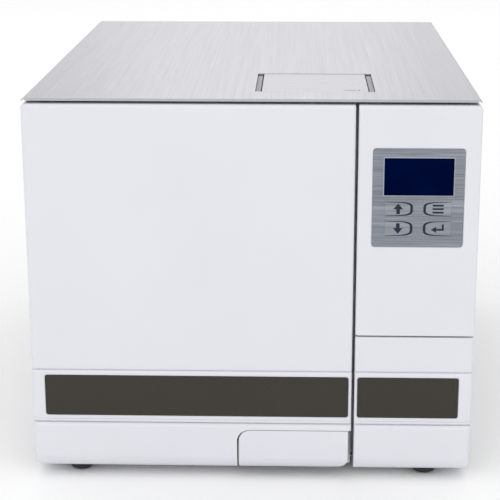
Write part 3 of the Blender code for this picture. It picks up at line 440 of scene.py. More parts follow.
def eased(profile, radius, steps=3):
    """Round the inner corners of an open profile by a radius."""
    points = [profile[0]]
    for before, corner, after in zip(profile, profile[1:], profile[2:]):
        a, b, c = Vector(before), Vector(corner), Vector(after)
        reach = min(radius, (a - b).length * 0.45, (c - b).length * 0.45)
        start = b + (a - b).normalized() * reach
        end = b + (c - b).normalized() * reach
        for i in range(steps + 1):
            t = i / steps
            point = start.lerp(b, t).lerp(b.lerp(end, t), t)
            points.append((point.x, point.y))
    points.append(profile[-1])
    return points


def combine(obj, operation, tools):
    """Apply Booleans with the tools in turn, and drop the tools."""
    for tool in tools:
        modifier = obj.modifiers.new("Boolean", "BOOLEAN")
        modifier.operation = operation
        modifier.object = tool
        modifier.solver = "EXACT"
    bpy.context.view_layer.update()
    graph = bpy.context.evaluated_depsgraph_get()
    mesh = bpy.data.meshes.new_from_object(obj.evaluated_get(graph))
    obj.modifiers.clear()
    obj.data = mesh
    for tool in tools:
        bpy.data.objects.remove(tool, do_unlink=True)
    return obj


def cut(obj, *tools):
    return combine(obj, "DIFFERENCE", tools)


def weld(obj, *others):
    return combine(obj, "UNION", others)


def gather(obj, *others):
    """Put the faces of other objects into one object, without a Boolean."""
    bm = bmesh.new()
    for source in (obj, *others):
        bm.from_mesh(source.data)
    for other in others:
        bpy.data.objects.remove(other, do_unlink=True)
    bm.to_mesh(obj.data)
    bm.free()
    return obj


def smooth(obj, angle=32.0):
    """Smooth shading with hard edges kept, weighted so that flat faces stay flat."""
    obj.data.shade_smooth()
    obj.data.set_sharp_from_angle(angle=math.radians(angle))
    weights = obj.modifiers.new("Weights", "WEIGHTED_NORMAL")
    weights.keep_sharp = True
    weights.weight = 100
    return obj


def show(obj, material, body="root", stands_for=()):
    """Give a piece its finish and its body; it may stand for CAD nodes."""
    obj.data.materials.clear()
    obj.data.materials.append(material)
    smooth(obj)
    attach(obj, body)
    if stands_for:
        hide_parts(*stands_for)
    return obj


def dress(node, material, edge=0.0):
    """Give a CAD node a procedural finish, with its sharp edges eased for shading."""
    obj = NODES[node]
    while len(obj.material_slots) > 1:
        obj.data.materials.pop()
    if not obj.material_slots:
        obj.data.materials.append(material)
    obj.material_slots[0].material = material
    if "custom_normal" in obj.data.attributes:
        obj.data.attributes.remove(obj.data.attributes["custom_normal"])
    obj.data.shade_smooth()
    joined = obj.modifiers.new("Weld", "WELD")
    joined.merge_threshold = 0.00001
    if edge:
        bevel = obj.modifiers.new("Bevel", "BEVEL")
        bevel.width = edge
        bevel.segments = 2
        bevel.limit_method = "ANGLE"
        bevel.angle_limit = math.radians(50)
    split = obj.modifiers.new("Split", "EDGE_SPLIT")
    split.split_angle = math.radians(30)
    return obj


# ---------------------------------------------------------------- fasteners

def pan_screw(name, place, direction, radius=0.0036, height=0.0018):
    """Domed screw head with a cross recess, its face along direction."""
    profile = [(0.0, height)]
    for i in range(1, 6):
        angle = i / 5 * math.pi / 2
        profile.append((radius * math.sin(angle), height * (0.25 + 0.75 * math.cos(angle))))
    profile += [(radius, 0.0), (0.0, 0.0)]
    head = turned(name, profile, (0, 0, 0), (0, 0, 1), 28)
    arm, width = radius * 0.62, radius * 0.16
    floor = height * 0.45
    slots = [block(name + "_slot", (-arm, -width, floor), (arm, width, height * 2)),
             block(name + "_cross", (-width, -arm, floor), (width, arm, height * 2))]
    cut(head, *slots)
    spin = Vector(direction).to_track_quat("Z", "Y").to_matrix().to_4x4()
    head.data.transform(Matrix.Translation(place) @ spin @ Matrix.Rotation(0.35, 4, "Z"))
    return head


def screws(name, places, direction, body="root", radius=0.0036, height=0.0018):
    for index, place in enumerate(places):
        head = pan_screw(f"{name}_{index + 1}", place, direction, radius, height)
        show(head, POLISHED, body)


# ---------------------------------------------------------------- sheet-metal body

def build_casing():
    """Folded brushed wrap with rounded bends, rolled front lip and vents."""
    side, top, back = HALF_WIDTH, TOP, HIGH.y
    foot = BODY_BOTTOM + SHEET
    inner = BEND - SHEET
    outer = [(side, foot)]
    outer += arc((side - BEND, top - BEND), BEND, 0)
    outer += arc((-side + BEND, top - BEND), BEND, 1)
    outer.append((-side, foot))
    inside = [(-side + SHEET, foot)]
    inside += reversed(arc((-side + BEND, top - BEND), inner, 1))
    inside += reversed(arc((side - BEND, top - BEND), inner, 0))
    inside.append((side - SHEET, foot))
    casing = lofted("casing_wrap", [(LIP_FRONT, outer + inside), (back, outer + inside)], "Y")
    weld(casing, block("hem", (-side + BEND, LIP_FRONT, top - LIP_HEIGHT),
                       (side - BEND, LIP_FRONT + 0.012, top - SHEET / 2)))
    lid_low, lid_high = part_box("lid_collar")
    well = 0.004
    tools = [block("below_lip", (-0.25, LIP_FRONT - 0.01, 0.0), (0.25, FRAME_FRONT, top - LIP_HEIGHT)),
             slab("lid_hole", ((lid_low.x + well, lid_low.y + well - 0.0009, lid_high.x - well,
                                lid_high.y - well + 0.0009), (top - 0.01, top + 0.01)), 0.0015, "Z")]
    for sign in (-1, 1):
        for row in range(5):
            z = 0.060 + 0.012 * row
            ends = sorted((sign * side - 0.01, sign * side + 0.01))
            tools.append(slab("vent", ((0.170, z, 0.270, z + 0.004), tuple(ends)), 0.0019, "X"))
    cut(casing, *tools)
    edges = casing.modifiers.new("Lip", "BEVEL")
    edges.width = 0.0004
    edges.segments = 2
    edges.limit_method = "ANGLE"
    edges.angle_limit = math.radians(60)
    show(casing, STEEL_TOP, "root", ("outer_casing",))


def build_side_screws():
    for hand, sign in (("left", -1), ("right", 1)):
        for level in ("upper", "lower"):
            node = f"side_screw_{hand}_{level}"
            low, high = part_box(node)
            place = (sign * (HALF_WIDTH + GAP / 2), (low.y + high.y) / 2, (low.z + high.z) / 2)
            head = pan_screw(f"casing_screw_{hand}_{level}", place, (sign, 0, 0), 0.0040, 0.0014)
            show(head, POLISHED, "root", (node,))


def build_feet():
    """Moulded rubber feet with a domed side, a tread ring and a hollow sole."""
    for depth in ("front", "rear"):
        for hand in ("left", "right"):
            node = f"foot_{depth}_{hand}"
            low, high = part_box(node)
            radius, height = (high.x - low.x) / 2, high.z - low.z
            profile = [(0.0, height), (radius - 0.0015, height), (radius, height - 0.0014),
                       (radius - 0.0004, height - 0.0040), (radius - 0.0020, height - 0.0066),
                       (radius - 0.0050, 0.0006), (radius - 0.0065, 0.0), (radius - 0.0085, 0.0),
                       (radius - 0.0090, 0.0012), (0.0, 0.0012)]
            foot = turned(f"rubber_foot_{depth}_{hand}", eased(profile, 0.0012, 4),
                          ((low.x + high.x) / 2, (low.y + high.y) / 2, low.z), (0, 0, 1), 48)
            show(foot, RUBBER, "root", (node,))


def build_back():
    """Rear sheet's screws, blank rating plate, inlet pins, and the fan's screws and guard."""
    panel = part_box("back_panel")
    dress("back_panel", ZINC, 0.0003)
    face = panel[1].y
    inset = 0.010
    xs = [panel[0].x + inset, 0.0, panel[1].x - inset]
    zs = [panel[0].z + inset, (panel[0].z + panel[1].z) / 2, panel[1].z - inset]
    places = [(x, face, z) for x in xs for z in zs if (x, z) != (0.0, zs[1])]
    screws("back_screw", places, (0, 1, 0))

    low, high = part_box("mains_inlet")
    dress("mains_inlet", BLACK, 0.0004)
    middle = (low + high) / 2
    for index, (dx, dz) in enumerate(((-0.007, -0.002), (0.0, 0.003), (0.007, -0.002))):
        pin = block(f"inlet_pin_{index + 1}", (middle.x + dx - 0.001, 0.290, middle.z + dz - 0.002),
                    (middle.x + dx + 0.001, 0.304, middle.z + dz + 0.002), 0.0006)
        show(pin, BRASS)
    head_height = 0.0010
    places = [(middle.x + side * 0.0262, HIGH.y - 0.0001 - head_height, middle.z) for side in (-1, 1)]
    screws("inlet_screw", places, (0, 1, 0), radius=0.0026, height=head_height)

    plate = slab("rating_plate", ((0.060, 0.235, 0.150, 0.290), (face, face + 0.0006)), 0.003, "Y", 0.0002)
    show(plate, BEZEL)
    rivets = [(x, face + 0.0006, z) for x in (0.064, 0.146) for z in (0.239, 0.286)]
    screws("plate_rivet", rivets, (0, 1, 0), radius=0.0018, height=0.0008)

    fan_low, fan_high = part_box("fan_housing")
    screws("fan_screw", [(x, face, z) for x in (fan_low.x + 0.008, fan_high.x - 0.008)
                         for z in (fan_low.z + 0.008, fan_high.z - 0.008)], (0, 1, 0))
    build_fan_guard(((fan_low + fan_high) / 2), face)


def build_fan_guard(centre, face):
    """Wire rings and spokes over the fan's slots."""
    wire = 0.0007
    rings = []
    for radius in (0.012, 0.024, 0.036, 0.048, 0.056):
        profile = [(radius + wire * math.cos(a), wire * math.sin(a))
                   for a in (i * math.pi / 4 for i in range(8))]
        rings.append(turned("guard_ring", profile, (centre.x, face + wire, centre.z), (0, 1, 0), 72))
    for spoke in range(4):
        angle = math.pi / 4 + spoke * math.pi / 2
        reach = Vector((math.cos(angle), 0, math.sin(angle)))
        start = Vector((centre.x, face + wire * 2.4, centre.z)) + reach * 0.006
        length = 0.055
        rings.append(turned("guard_spoke", [(0.0, 0.0), (wire, 0.0), (wire, length), (0.0, length)],
                            start, reach, 12))
    guard = gather(rings[0], *rings[1:])
    guard.name = "fan_guard"
    show(guard, POLISHED)


# ---------------------------------------------------------------- front covers

def quarter_inset(radius, distance):
    """How far a rounded edge draws in at a distance from its end."""
    if distance >= radius:
        return 0.0
    return radius - math.sqrt(max(radius ** 2 - (radius - distance) ** 2, 0.0))


def cover_front(z):
    """Y of the front surface at a height: main panel, band, bead, lower panel and its curl.

    Fine grooves part the main panel, the band, the bead and the lower panel.
    """
    if z >= BAND_TOP + GROOVE:
        return MAIN_FRONT + quarter_inset(GROOVE_DEPTH, z - BAND_TOP - GROOVE)
    if z >= BAND_TOP:
        return MAIN_FRONT + GROOVE_DEPTH
    if z >= PANEL_TOP + BEAD + GROOVE:
        return BAND_FRONT + quarter_inset(MAIN_FRONT - BAND_FRONT, BAND_TOP - z)
    if z >= PANEL_TOP + BEAD:
        return BAND_FRONT + GROOVE_DEPTH / 2
    if z >= PANEL_TOP:
        middle = abs(z - PANEL_TOP - BEAD / 2) / (BEAD / 2)
        return BAND_FRONT - BEAD_HEIGHT * math.sqrt(max(1 - middle ** 4, 0.0))
    if z >= PANEL_TOP - GROOVE:
        return BAND_FRONT + GROOVE_DEPTH / 2
    shoulder = quarter_inset(BAND_FRONT - PANEL_FRONT, PANEL_TOP - z)
    return PANEL_FRONT + shoulder + quarter_inset(CURL_RADIUS, z - BODY_BOTTOM)


def arc_heights(radius, start, sign):
    """Heights that follow a rounded edge of a radius, away from its end."""
    angles = [i / ARC_STEPS * math.pi / 2 for i in range(ARC_STEPS + 1)]
    return [start + sign * radius * (1 - math.cos(angle)) for angle in angles]


def cover(name, sides, levels, corners, top_edge, plan_radii, back=COVER_BACK):
    """Solid of a front cover: corners are its radii in front view, from the lower left round."""
    (left, right), (low, high) = sides, levels
    lower_left, lower_right, upper_right, upper_left = corners
    heights = []
    for radius in {lower_left, lower_right}:
        heights += arc_heights(radius, low, 1)
    for radius in {upper_left, upper_right, top_edge}:
        heights += arc_heights(radius, high, -1)
    heights += arc_heights(CURL_RADIUS, BODY_BOTTOM, 1)
    heights += arc_heights(BAND_FRONT - PANEL_FRONT, PANEL_TOP, -1)
    heights += arc_heights(MAIN_FRONT - BAND_FRONT, BAND_TOP, -1)
    heights += arc_heights(GROOVE_DEPTH, BAND_TOP + GROOVE, 1)
    heights += [PANEL_TOP + BEAD * i / ARC_STEPS for i in range(ARC_STEPS + 1)]
    for edge in (BAND_TOP, BAND_TOP + GROOVE, PANEL_TOP + BEAD + GROOVE, PANEL_TOP + BEAD, PANEL_TOP,
                 PANEL_TOP - GROOVE):
        heights += [edge, edge - 0.00002]
    rings = []
    for z in sorted({round(z, 5) for z in heights if low <= z <= high}):
        tuck = 0.0
        if z < PANEL_TOP and high > BAND_TOP:
            tuck = PANEL_INSET - quarter_inset(PANEL_INSET, PANEL_TOP - z)
        x0 = left + max(quarter_inset(lower_left, z - low), quarter_inset(upper_left, high - z))
        x1 = right - max(quarter_inset(lower_right, z - low), quarter_inset(upper_right, high - z))
        x0 += tuck * (left < -HALF_WIDTH + WALL)
        x1 -= tuck * (right > HALF_WIDTH - WALL)
        front = cover_front(z) + quarter_inset(top_edge, high - z)
        rings.append((z, rounded(x0, front, x1, back, plan_radii, 6)))
    return lofted(name, rings, "Z")


def strip_recess(node):
    """Tool for a strip's recess, with a chamfered rim."""
    low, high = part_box(node)
    grow = 0.0005
    rim = 0.0010
    front = BAND_FRONT
    outline = (low.x - grow, low.z - grow, high.x + grow, high.z + grow)
    wide = (outline[0] - rim, outline[1] - rim, outline[2] + rim, outline[3] + rim)
    return lofted("recess", [(front - 0.01, rounded(*wide, 0.0036)), (front, rounded(*wide, 0.0036)),
                             (front + 0.0006, rounded(*outline, 0.0028)),
                             (front + 0.0015, rounded(*outline, 0.0028))], "Y")


def arm_slots(sign, levels):
    edge = sign * HALF_WIDTH
    tools = []
    for z in levels:
        low_x, high_x = sorted((edge - sign * 0.0045, edge + sign * 0.01))
        tools.append(block("arm_slot", (low_x, HINGE_Y - 0.0062, z - 0.0015),
                           (high_x, -0.25, z + ARM_HEIGHT + 0.0015)))
    return tools


def post(name, start, end, radius, steps=32):
    start, end = Vector(start), Vector(end)
    length = (end - start).length
    profile = [(0.0, 0.0), (radius, 0.0), (radius, length), (0.0, length)]
    return turned(name, profile, start, end - start, steps)


def build_door_cover():
    low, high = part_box("door_cover")
    lever_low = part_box("door_lever")[0]
    skin = cover("door_skin", (low.x, high.x), (low.z, high.z), (0.008, 0.0015, 0.0015, 0.0055), 0.004,
                 (0.0045, 0.0025, 0.001, 0.006))
    left, right = low.x + WALL, high.x - WALL
    inside, pocket_left = MAIN_FRONT + WALL, lever_low.x - 0.0018
    pocket = rounded(pocket_left, -0.01, 0.130, LEVER_TOP + LEVER_GAP,
                     (0.001, 0.001, 0.001, LEVER_CORNER + LEVER_GAP), 10)
    cut(skin, block("main", (left, inside, PANEL_TOP), (right, -0.25, high.z - WALL)),
        block("low", (left, inside, HOLLOW_LOW), (pocket_left - WALL, -0.25, PANEL_TOP + 0.002)),
        block("panel", (left, PANEL_FRONT + WALL, 0.026), (pocket_left - WALL, -0.29, 0.061)),
        block("over_pocket", (pocket_left - 0.004, POCKET_FLOOR + 0.0025, HOLLOW_LOW),
              (right, -0.25, PANEL_TOP + 0.001)),
        lofted("pocket", [(-0.33, pocket), (POCKET_FLOOR, pocket)], "Y"))
    axis_x, axis_y = LEVER_AXIS
    weld(skin, block("lug_arm", (axis_x - LUG_RADIUS, axis_y, LUG_LOW),
                     (axis_x + LUG_RADIUS, POCKET_FLOOR + 0.001, LUG_HIGH)),
         post("lug", (axis_x, axis_y, LUG_LOW), (axis_x, axis_y, LUG_HIGH), LUG_RADIUS + 0.0001))
    cut(skin, post("bore", (axis_x, axis_y, LUG_LOW - 0.01), (axis_x, axis_y, 0.0640), 0.0015),
        *arm_slots(-1, DOOR_ARMS), strip_recess("door_strip"))
    show(skin, COVER_WHITE, "door", ("door_cover",))


def build_lever():
    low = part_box("door_lever")[0]
    axis_x, axis_y = LEVER_AXIS
    lever_right = 0.106
    corners = (0.0015, LEVER_CORNER, 0.0015, LEVER_CORNER)
    skin = cover("lever_skin", (low.x, lever_right), (low.z, LEVER_TOP), corners, 0.0008,
                 (0.0015, 0.0015, 0.001, 0.001), -0.298)
    cut(skin, block("finger", (0.012, PANEL_FRONT + 0.003, 0.020),
                    (lever_right - 0.003, -0.28, LEVER_TOP - 0.004), 0.0012),
        block("notch", (-0.03, axis_y - LUG_RADIUS - 0.0005, LUG_LOW - 0.0005),
              (axis_x + 0.0055, -0.28, LUG_HIGH + 0.0005)))
    weld(skin, post("pin", (axis_x, axis_y, 0.0230), (axis_x, axis_y, 0.0632), 0.0012))
    show(skin, COVER_WHITE, "lever", ("door_lever",))


def build_fascia():
    low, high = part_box("control_fascia")
    plate_low, plate_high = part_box("display_plate")
    skin = cover("fascia_skin", (low.x, high.x), (low.z, high.z), (0.001, 0.001, 0.0055, 0.0015), 0.004,
                 (0.0025, 0.0025, 0.001, 0.001))
    cut(skin, block("hollow", (low.x + WALL, MAIN_FRONT + WALL, low.z + WALL),
                    (high.x - WALL, -0.25, high.z - WALL)))
    posts = [post("post", (x, MAIN_FRONT + WALL - 0.001, z), (x, FRAME_FRONT - GAP, z), 0.0035)
             for x in (0.1205, 0.2315) for z in (0.176, 0.410)]
    weld(skin, *posts)
    grow, rim = 0.0004, 0.0006
    outline = (plate_low.x - grow, plate_low.z - grow, plate_high.x + grow, plate_high.z + grow)
    wide = (outline[0] - rim, outline[1] - rim, outline[2] + rim, outline[3] + rim)
    tools = [lofted("plate_recess", [(-0.32, rounded(*wide, 0.004)), (MAIN_FRONT, rounded(*wide, 0.004)),
                                     (MAIN_FRONT + 0.0004, rounded(*outline, 0.0034)),
                                     (MAIN_FRONT + 0.0010, rounded(*outline, 0.0034))], "Y")]
    for opening in OPENINGS:
        tools.append(slab("opening", (opening, (-0.32, -0.295)), 0.0005, "Y"))
    cut(skin, *tools)
    show(skin, COVER_WHITE, "root", ("control_fascia",))


def build_service_door():
    low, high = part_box("service_door")
    skin = cover("service_skin", (low.x, high.x), (low.z, high.z), (0.0015, 0.008, 0.001, 0.001), 0.001,
                 (0.0025, 0.0045, 0.006, 0.001))
    cut(skin, block("hollow", (low.x + WALL, MAIN_FRONT + WALL, HOLLOW_LOW),
                    (high.x - WALL, -0.25, high.z - WALL)),
        block("panel", (low.x + WALL, PANEL_FRONT + WALL, 0.026), (high.x - WALL, -0.29, 0.061)),
        *arm_slots(1, SERVICE_ARMS))
    for bottom, top in ((SERVICE_ARMS[0] + ARM_HEIGHT + GAP, 0.056), (0.124, SERVICE_ARMS[1] - GAP)):
        weld(skin, post("knuckle", (HINGE_X, HINGE_Y, bottom), (HINGE_X, HINGE_Y, top), 0.0045),
             block("web", (HINGE_X - 0.0025, cover_front(top) + 0.001, bottom),
                   (HINGE_X + 0.0025, HINGE_Y, top)))
    cut(skin, post("bore", (HINGE_X, HINGE_Y, 0.030), (HINGE_X, HINGE_Y, 0.150), 0.0025),
        strip_recess("service_strip"))
    show(skin, COVER_WHITE, "service_door", ("service_door",))
    for index, x in enumerate((low.x + 0.003, high.x - 0.009)):
        tab = slab(f"door_stop_{index + 1}", ((x, -0.290, x + 0.006, -0.276), (0.0082, 0.0106)),
                   0.0015, "Z", 0.0004)
        show(tab, FILTER_WHITE, "service_door")


def build_strips():
    """Smoked strips with eased front edges."""
    for name, node, body in (("door_band_strip", "door_strip", "door"),
                             ("service_band_strip", "service_strip", "service_door")):
        low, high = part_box(node)
        strip = slab(name, ((low.x, low.z, high.x, high.z), (low.y + 0.0001, high.y)), 0.0026, "Y", 0.0004,
                     front_only=True)
        show(strip, SMOKED, body, (node,))


# ---------------------------------------------------------------- control panel

KEYS = ("key_up", "key_menu", "key_down", "key_enter")


def front_box(node, grow):
    low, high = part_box(node)
    return (low.x - grow, low.z - grow, high.x + grow, high.z + grow)


OPENINGS = [(0.1393, 0.3233, 0.2121, 0.3634)] + [front_box(node, 0.0004) for node in KEYS]


def build_panel_plate():
    """Brushed plate with the window and key openings, and a bright bevel round the window."""
    low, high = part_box("display_plate")
    face = slab("panel_plate", ((low.x, low.z, high.x, high.z), (low.y, high.y)), 0.003, "Y", 0.00025)
    cut(face, *[slab("opening", (opening, (-0.32, -0.295)), 0.0005, "Y") for opening in OPENINGS])
    show(face, PANEL_METAL, "root", ("display_plate",))
    x0, z0, x1, z1 = OPENINGS[0]
    rim = 0.0009
    front = low.y - 0.00015

    def window(grow, radius):
        return rounded(x0 - grow, z0 - grow, x1 + grow, z1 + grow, radius)

    bezel = lofted("window_bezel", [(front + 0.0011, window(rim, 0.0012)),
                                    (front + 0.0002, window(rim, 0.0012)),
                                    (front, window(rim * 0.75, 0.0010))], "Y")
    cut(bezel, lofted("bezel_hole", [(front - 0.001, window(0.0002, 0.0008)),
                                     (front + 0.003, window(-0.0004, 0.0005))], "Y"))
    show(bezel, BEZEL)
    dress("display_module", SCREEN)


def bracket_outline(name, box, sign, depth):
    """Crescent round a key: thick on the side at sign, thinning out along the top and bottom."""
    x0, z0, x1, z1 = box
    middle, start = (z0 + z1) / 2, x0 + 0.28 * (x1 - x0)
    reach, half = x1 - start, (z1 - z0) / 2 - 0.0002
    power, turns = 0.50, 28
    path = [(x0 + 0.0004, middle + half, 0.0003)]
    for i in range(turns + 1):
        angle = math.pi / 2 - i / turns * math.pi
        across, along = abs(math.cos(angle)), math.sin(angle)
        height = math.copysign(half * abs(along) ** power, along)
        path.append((start + reach * across ** power, middle + height, 0.0007 + 0.0020 * across ** 1.2))
    path.append((x0 + 0.0004, middle - half, 0.0003))
    if sign < 0:
        path = [(x0 + x1 - x, z, width) for x, z, width in path]
    bm = bmesh.new()
    rows = []
    for i, (x, z, width) in enumerate(path):
        before, after = Vector(path[max(i - 1, 0)][:2]), Vector(path[min(i + 1, len(path) - 1)][:2])
        heading = (after - before).normalized()
        inner = Vector((x, z)) + Vector((heading.y, -heading.x)) * sign * width
        rows.append([bm.verts.new((u, y, v)) for (u, v), y in (((x, z), depth[0]), ((x, z), depth[1]),
                                                                (inner, depth[1]), (inner, depth[0]))])
    for first, second in zip(rows, rows[1:]):
        for i in range(4):
            j = (i + 1) % 4
            bm.faces.new((first[i], first[j], second[j], second[i]))
    bm.faces.new(rows[0])
    bm.faces.new(rows[-1])
    return link(name, mesh_from(bm, name))


def icon_shapes(node, centre):
    """Outlines of a key's generic symbol, in the front view."""
    cx, cz = centre
    arrow = [(-0.0019, -0.0056), (0.0019, -0.0056), (0.0019, -0.0004), (0.0052, -0.0004), (0.0, 0.0058),
             (-0.0052, -0.0004), (-0.0019, -0.0004)]
    if node == "key_up":
        return [[(cx + x, cz + z) for x, z in arrow]]
    if node == "key_down":
        return [[(cx - x, cz - z) for x, z in arrow]]
    if node == "key_menu":
        half, bar = 0.0058, 0.0020
        levels = [cz + z for z in (-0.0048, -bar / 2, 0.0048 - bar)]
        return [[(cx - half, z), (cx + half, z), (cx + half, z + bar), (cx - half, z + bar)] for z in levels]
    hook = [(0.0066, 0.0046), (0.0044, 0.0046), (0.0044, -0.0002), (-0.0014, -0.0002), (-0.0014, 0.0022),
            (-0.0068, -0.0012), (-0.0014, -0.0046), (-0.0014, -0.0022), (0.0066, -0.0022)]
    return [[(cx + x, cz + z) for x, z in hook]]


def build_keys():
    for node in KEYS:
        low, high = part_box(node)
        grow = 0.0003
        cap = slab(node + "_cap", (front_box(node, grow), (low.y, high.y)), 0.0008, "Y", 0.00012,
                   front_only=True)
        show(cap, KEY_METAL, node, (node,))
        sign = 1 if (low.x + high.x) / 2 < (OPENINGS[0][0] + OPENINGS[0][2]) / 2 else -1
        depth = (low.y - 0.00012, low.y + 0.0002)
        outline = bracket_outline(node + "_outline", (low.x, low.z, high.x, high.z), sign, depth)
        show(outline, KEY_INK, node)
        centre = ((low.x + high.x) / 2 - sign * 0.0008, (low.z + high.z) / 2)
        for index, shape in enumerate(icon_shapes(node, centre)):
            icon = lofted(f"{node}_icon_{index + 1}", [(depth[0], shape), (depth[1], shape)], "Y")
            show(icon, KEY_INK, node)


# ---------------------------------------------------------------- tank lid

def build_lid():
    """Brushed lid, ribbed grip wells beside it, and the small mark near its front corner."""
    low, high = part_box("tank_lid")
    surface = high.z - 0.0002
    lid = slab("lid_plate", ((low.x, low.y + 0.0004, high.x, high.y - 0.0004), (high.z - 0.0024, surface)),
               0.002, "Z", 0.0005)
    skirt = slab("skirt", ((low.x + 0.0012, low.y + 0.0012, high.x - 0.0012, high.y - 0.0012),
                           (low.z, high.z - 0.0020)), 0.0015, "Z")
    gather(lid, skirt)
    show(lid, STEEL_LID, "tank_lid", ("tank_lid",))
    dot = turned("lid_dot", [(0.0, 0.00015), (0.0011, 0.00015), (0.0011, -0.0002), (0.0, -0.0002)],
                 (high.x - 0.010, low.y + 0.010, surface), (0, 0, 1), 24)
    show(dot, KEY_INK, "tank_lid")
    line = slab("lid_line", ((high.x - 0.026, low.y + 0.0097, high.x - 0.013, low.y + 0.0103),
                             (surface - 0.0002, surface + 0.0001)), 0.0002, "Z")
    show(line, KEY_INK, "tank_lid")

    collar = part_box("lid_collar")
    dress("lid_collar", BLACK)
    well_width = 0.007
    ribs = []
    for x in (low.x - well_width, high.x + 0.0012):
        for row in range(34):
            y = low.y + 0.0018 + row * 0.0033
            ribs.append(block("rib", (x, y, collar[0].z + 0.0024),
                              (x + well_width - 0.0012, y + 0.0020, high.z - 0.0022), 0.0005))
    ribbed = gather(ribs[0], *ribs[1:])
    ribbed.name = "grip_ribs"
    show(ribbed, GRIP_GREY)


# ---------------------------------------------------------------- inside of the doors

def build_chamber():
    """Chamber, seal and pressure plate as fine turned pieces."""
    low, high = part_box("chamber_vessel")
    centre = Vector(((low.x + high.x) / 2, 0.0, (low.z + high.z) / 2))
    flange, front, end = (high.x - low.x) / 2, low.y, high.y
    inner, wall = 0.125, 0.0025
    outer = inner + wall
    shoulder = 0.100
    steps = 14
    angles = [i / steps * math.pi / 2 for i in range(steps + 1)]
    dome = [(math.sin(angle) * outer, shoulder + math.cos(angle) * (end - shoulder)) for angle in angles]
    dome[0] = (0.0, end)
    inside = [(radius * inner / outer, height - wall) for radius, height in reversed(dome)]
    inside[-1] = (0.0, end - wall)
    rim = [(outer, front + 0.010), (flange - 0.001, front + 0.010), (flange, front + 0.009),
           (flange, front + 0.001), (flange - 0.001, front), (inner + 0.002, front), (inner, front + 0.002)]
    vessel = turned("chamber_body", dome + rim + inside, (centre.x, 0.0, centre.z), (0, 1, 0), 128)
    show(vessel, TURNED_STEEL, "root", ("chamber_vessel",))

    low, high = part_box("door_seal")
    outer, front, back = (high.x - low.x) / 2, low.y, high.y
    inner = outer - 0.009
    groove = 0.0012
    profile = [(outer, back - 0.001), (outer, front + 0.001), (outer - 0.001, front), (inner + 0.001, front),
               (inner, front + 0.001), (inner, back - 0.0015), (inner + 0.0015, back),
               (outer - 0.0052, back), (outer - 0.0045, back - groove), (outer - 0.0038, back),
               (outer - 0.001, back)]
    seal = turned("silicone_seal", profile, (centre.x, 0.0, centre.z), (0, 1, 0), 128)
    show(seal, SILICONE, "door", ("door_seal",))

    low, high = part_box("pressure_plate")
    radius, front, back = (high.x - low.x) / 2, low.y, high.y
    depth = back - front
    face = [(0.0, depth), (0.096, depth), (0.100, depth - 0.0008), (0.110, depth - 0.0008), (0.113, depth),
            (radius - 0.002, depth), (radius, depth - 0.002), (radius, 0.0), (0.0, 0.0)]
    low_face = back - 0.004
    profile = [(0.0, low_face - front), (0.058, low_face - front), (0.066, low_face - front + 0.0003),
               (0.090, depth - 0.0004), (0.096, depth)] + face[2:]
    plate = turned("pressed_plate", profile, (centre.x, front, centre.z), (0, 1, 0), 128)
    show(plate, TURNED_STEEL, "door", ("pressure_plate",))
    nut = turned("plate_nut", eased([(0.0, 0.0036), (0.009, 0.0036), (0.0115, 0.0), (0.0, 0.0)], 0.0008),
                 (centre.x, low_face, centre.z), (0, 1, 0), 6)
    show(nut, POLISHED, "door")


def build_door_back():
    dress("door_back_plate", STEEL_PLATE, 0.0005)
    plate_back = -0.2715
    places = [(x, plate_back, z) for x in (-0.215, 0.090) for z in (0.032, 0.145, 0.396)]
    screws("plate_screw", places, (0, 1, 0), "door")
    dress("front_frame", ZINC, 0.0003)
    places = [(x, FRAME_FRONT, z) for x in (-0.226, 0.1155) for z in (0.030, 0.225, 0.400)
              if not (x > 0 and z < 0.2)]
    screws("frame_screw", places, (0, -1, 0), radius=0.0030, height=0.0014)


def build_trays():
    """Pressed trays with rows of drain holes and an upright rim, and the rack's own finish."""
    dress("tray_rack", POLISHED, 0.0002)
    for level in ("lower", "middle", "upper"):
        low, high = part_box(f"tray_{level}")
        build_tray(f"perforated_tray_{level}", f"tray_{level}", low, high)


def build_tray(name, node, low, high):
    sheet = 0.0012
    curve = bpy.data.curves.new(name, "CURVE")
    curve.dimensions = "2D"
    curve.fill_mode = "BOTH"
    curve.extrude = sheet / 2
    outlines = [rounded(low.x, low.y, high.x, high.y, 0.004, 5)]
    columns, rows = 9, 16
    for column in range(columns):
        for row in range(rows):
            x = low.x + (high.x - low.x) * (column + 0.8) / (columns + 0.6)
            y = low.y + (high.y - low.y) * (row + 0.8) / (rows + 0.6)
            outlines.append([(x + 0.0035 * math.cos(a), y + 0.0035 * math.sin(a))
                             for a in (i * math.pi / 5 for i in range(10))])
    for outline in outlines:
        spline = curve.splines.new("POLY")
        spline.points.add(len(outline) - 1)
        for point, (u, v) in zip(spline.points, outline):
            point.co = (u, v, 0.0, 1.0)
        spline.use_cyclic_u = True
    source = link(name + "_sheet", curve)
    bpy.context.view_layer.update()
    mesh = bpy.data.meshes.new_from_object(source.evaluated_get(bpy.context.evaluated_depsgraph_get()))
    bpy.data.objects.remove(source, do_unlink=True)
    mesh.transform(Matrix.Translation((0, 0, low.z + sheet / 2)))
    floor = link(name, mesh)
    outer = (low.x, low.y, high.x, high.y)
    wall = lofted("tray_wall", [(low.z, rounded(*outer, 0.004)), (high.z, rounded(*outer, 0.004))], "Z")
    inner = (low.x + sheet, low.y + sheet, high.x - sheet, high.y - sheet)
    cut(wall, lofted("tray_inside", [(low.z - 0.01, rounded(*inner, 0.003)),
                                     (high.z + 0.01, rounded(*inner, 0.003))], "Z"))
    gather(floor, wall)
    show(floor, POLISHED, "root", (node,))


# ---------------------------------------------------------------- the other CAD nodes

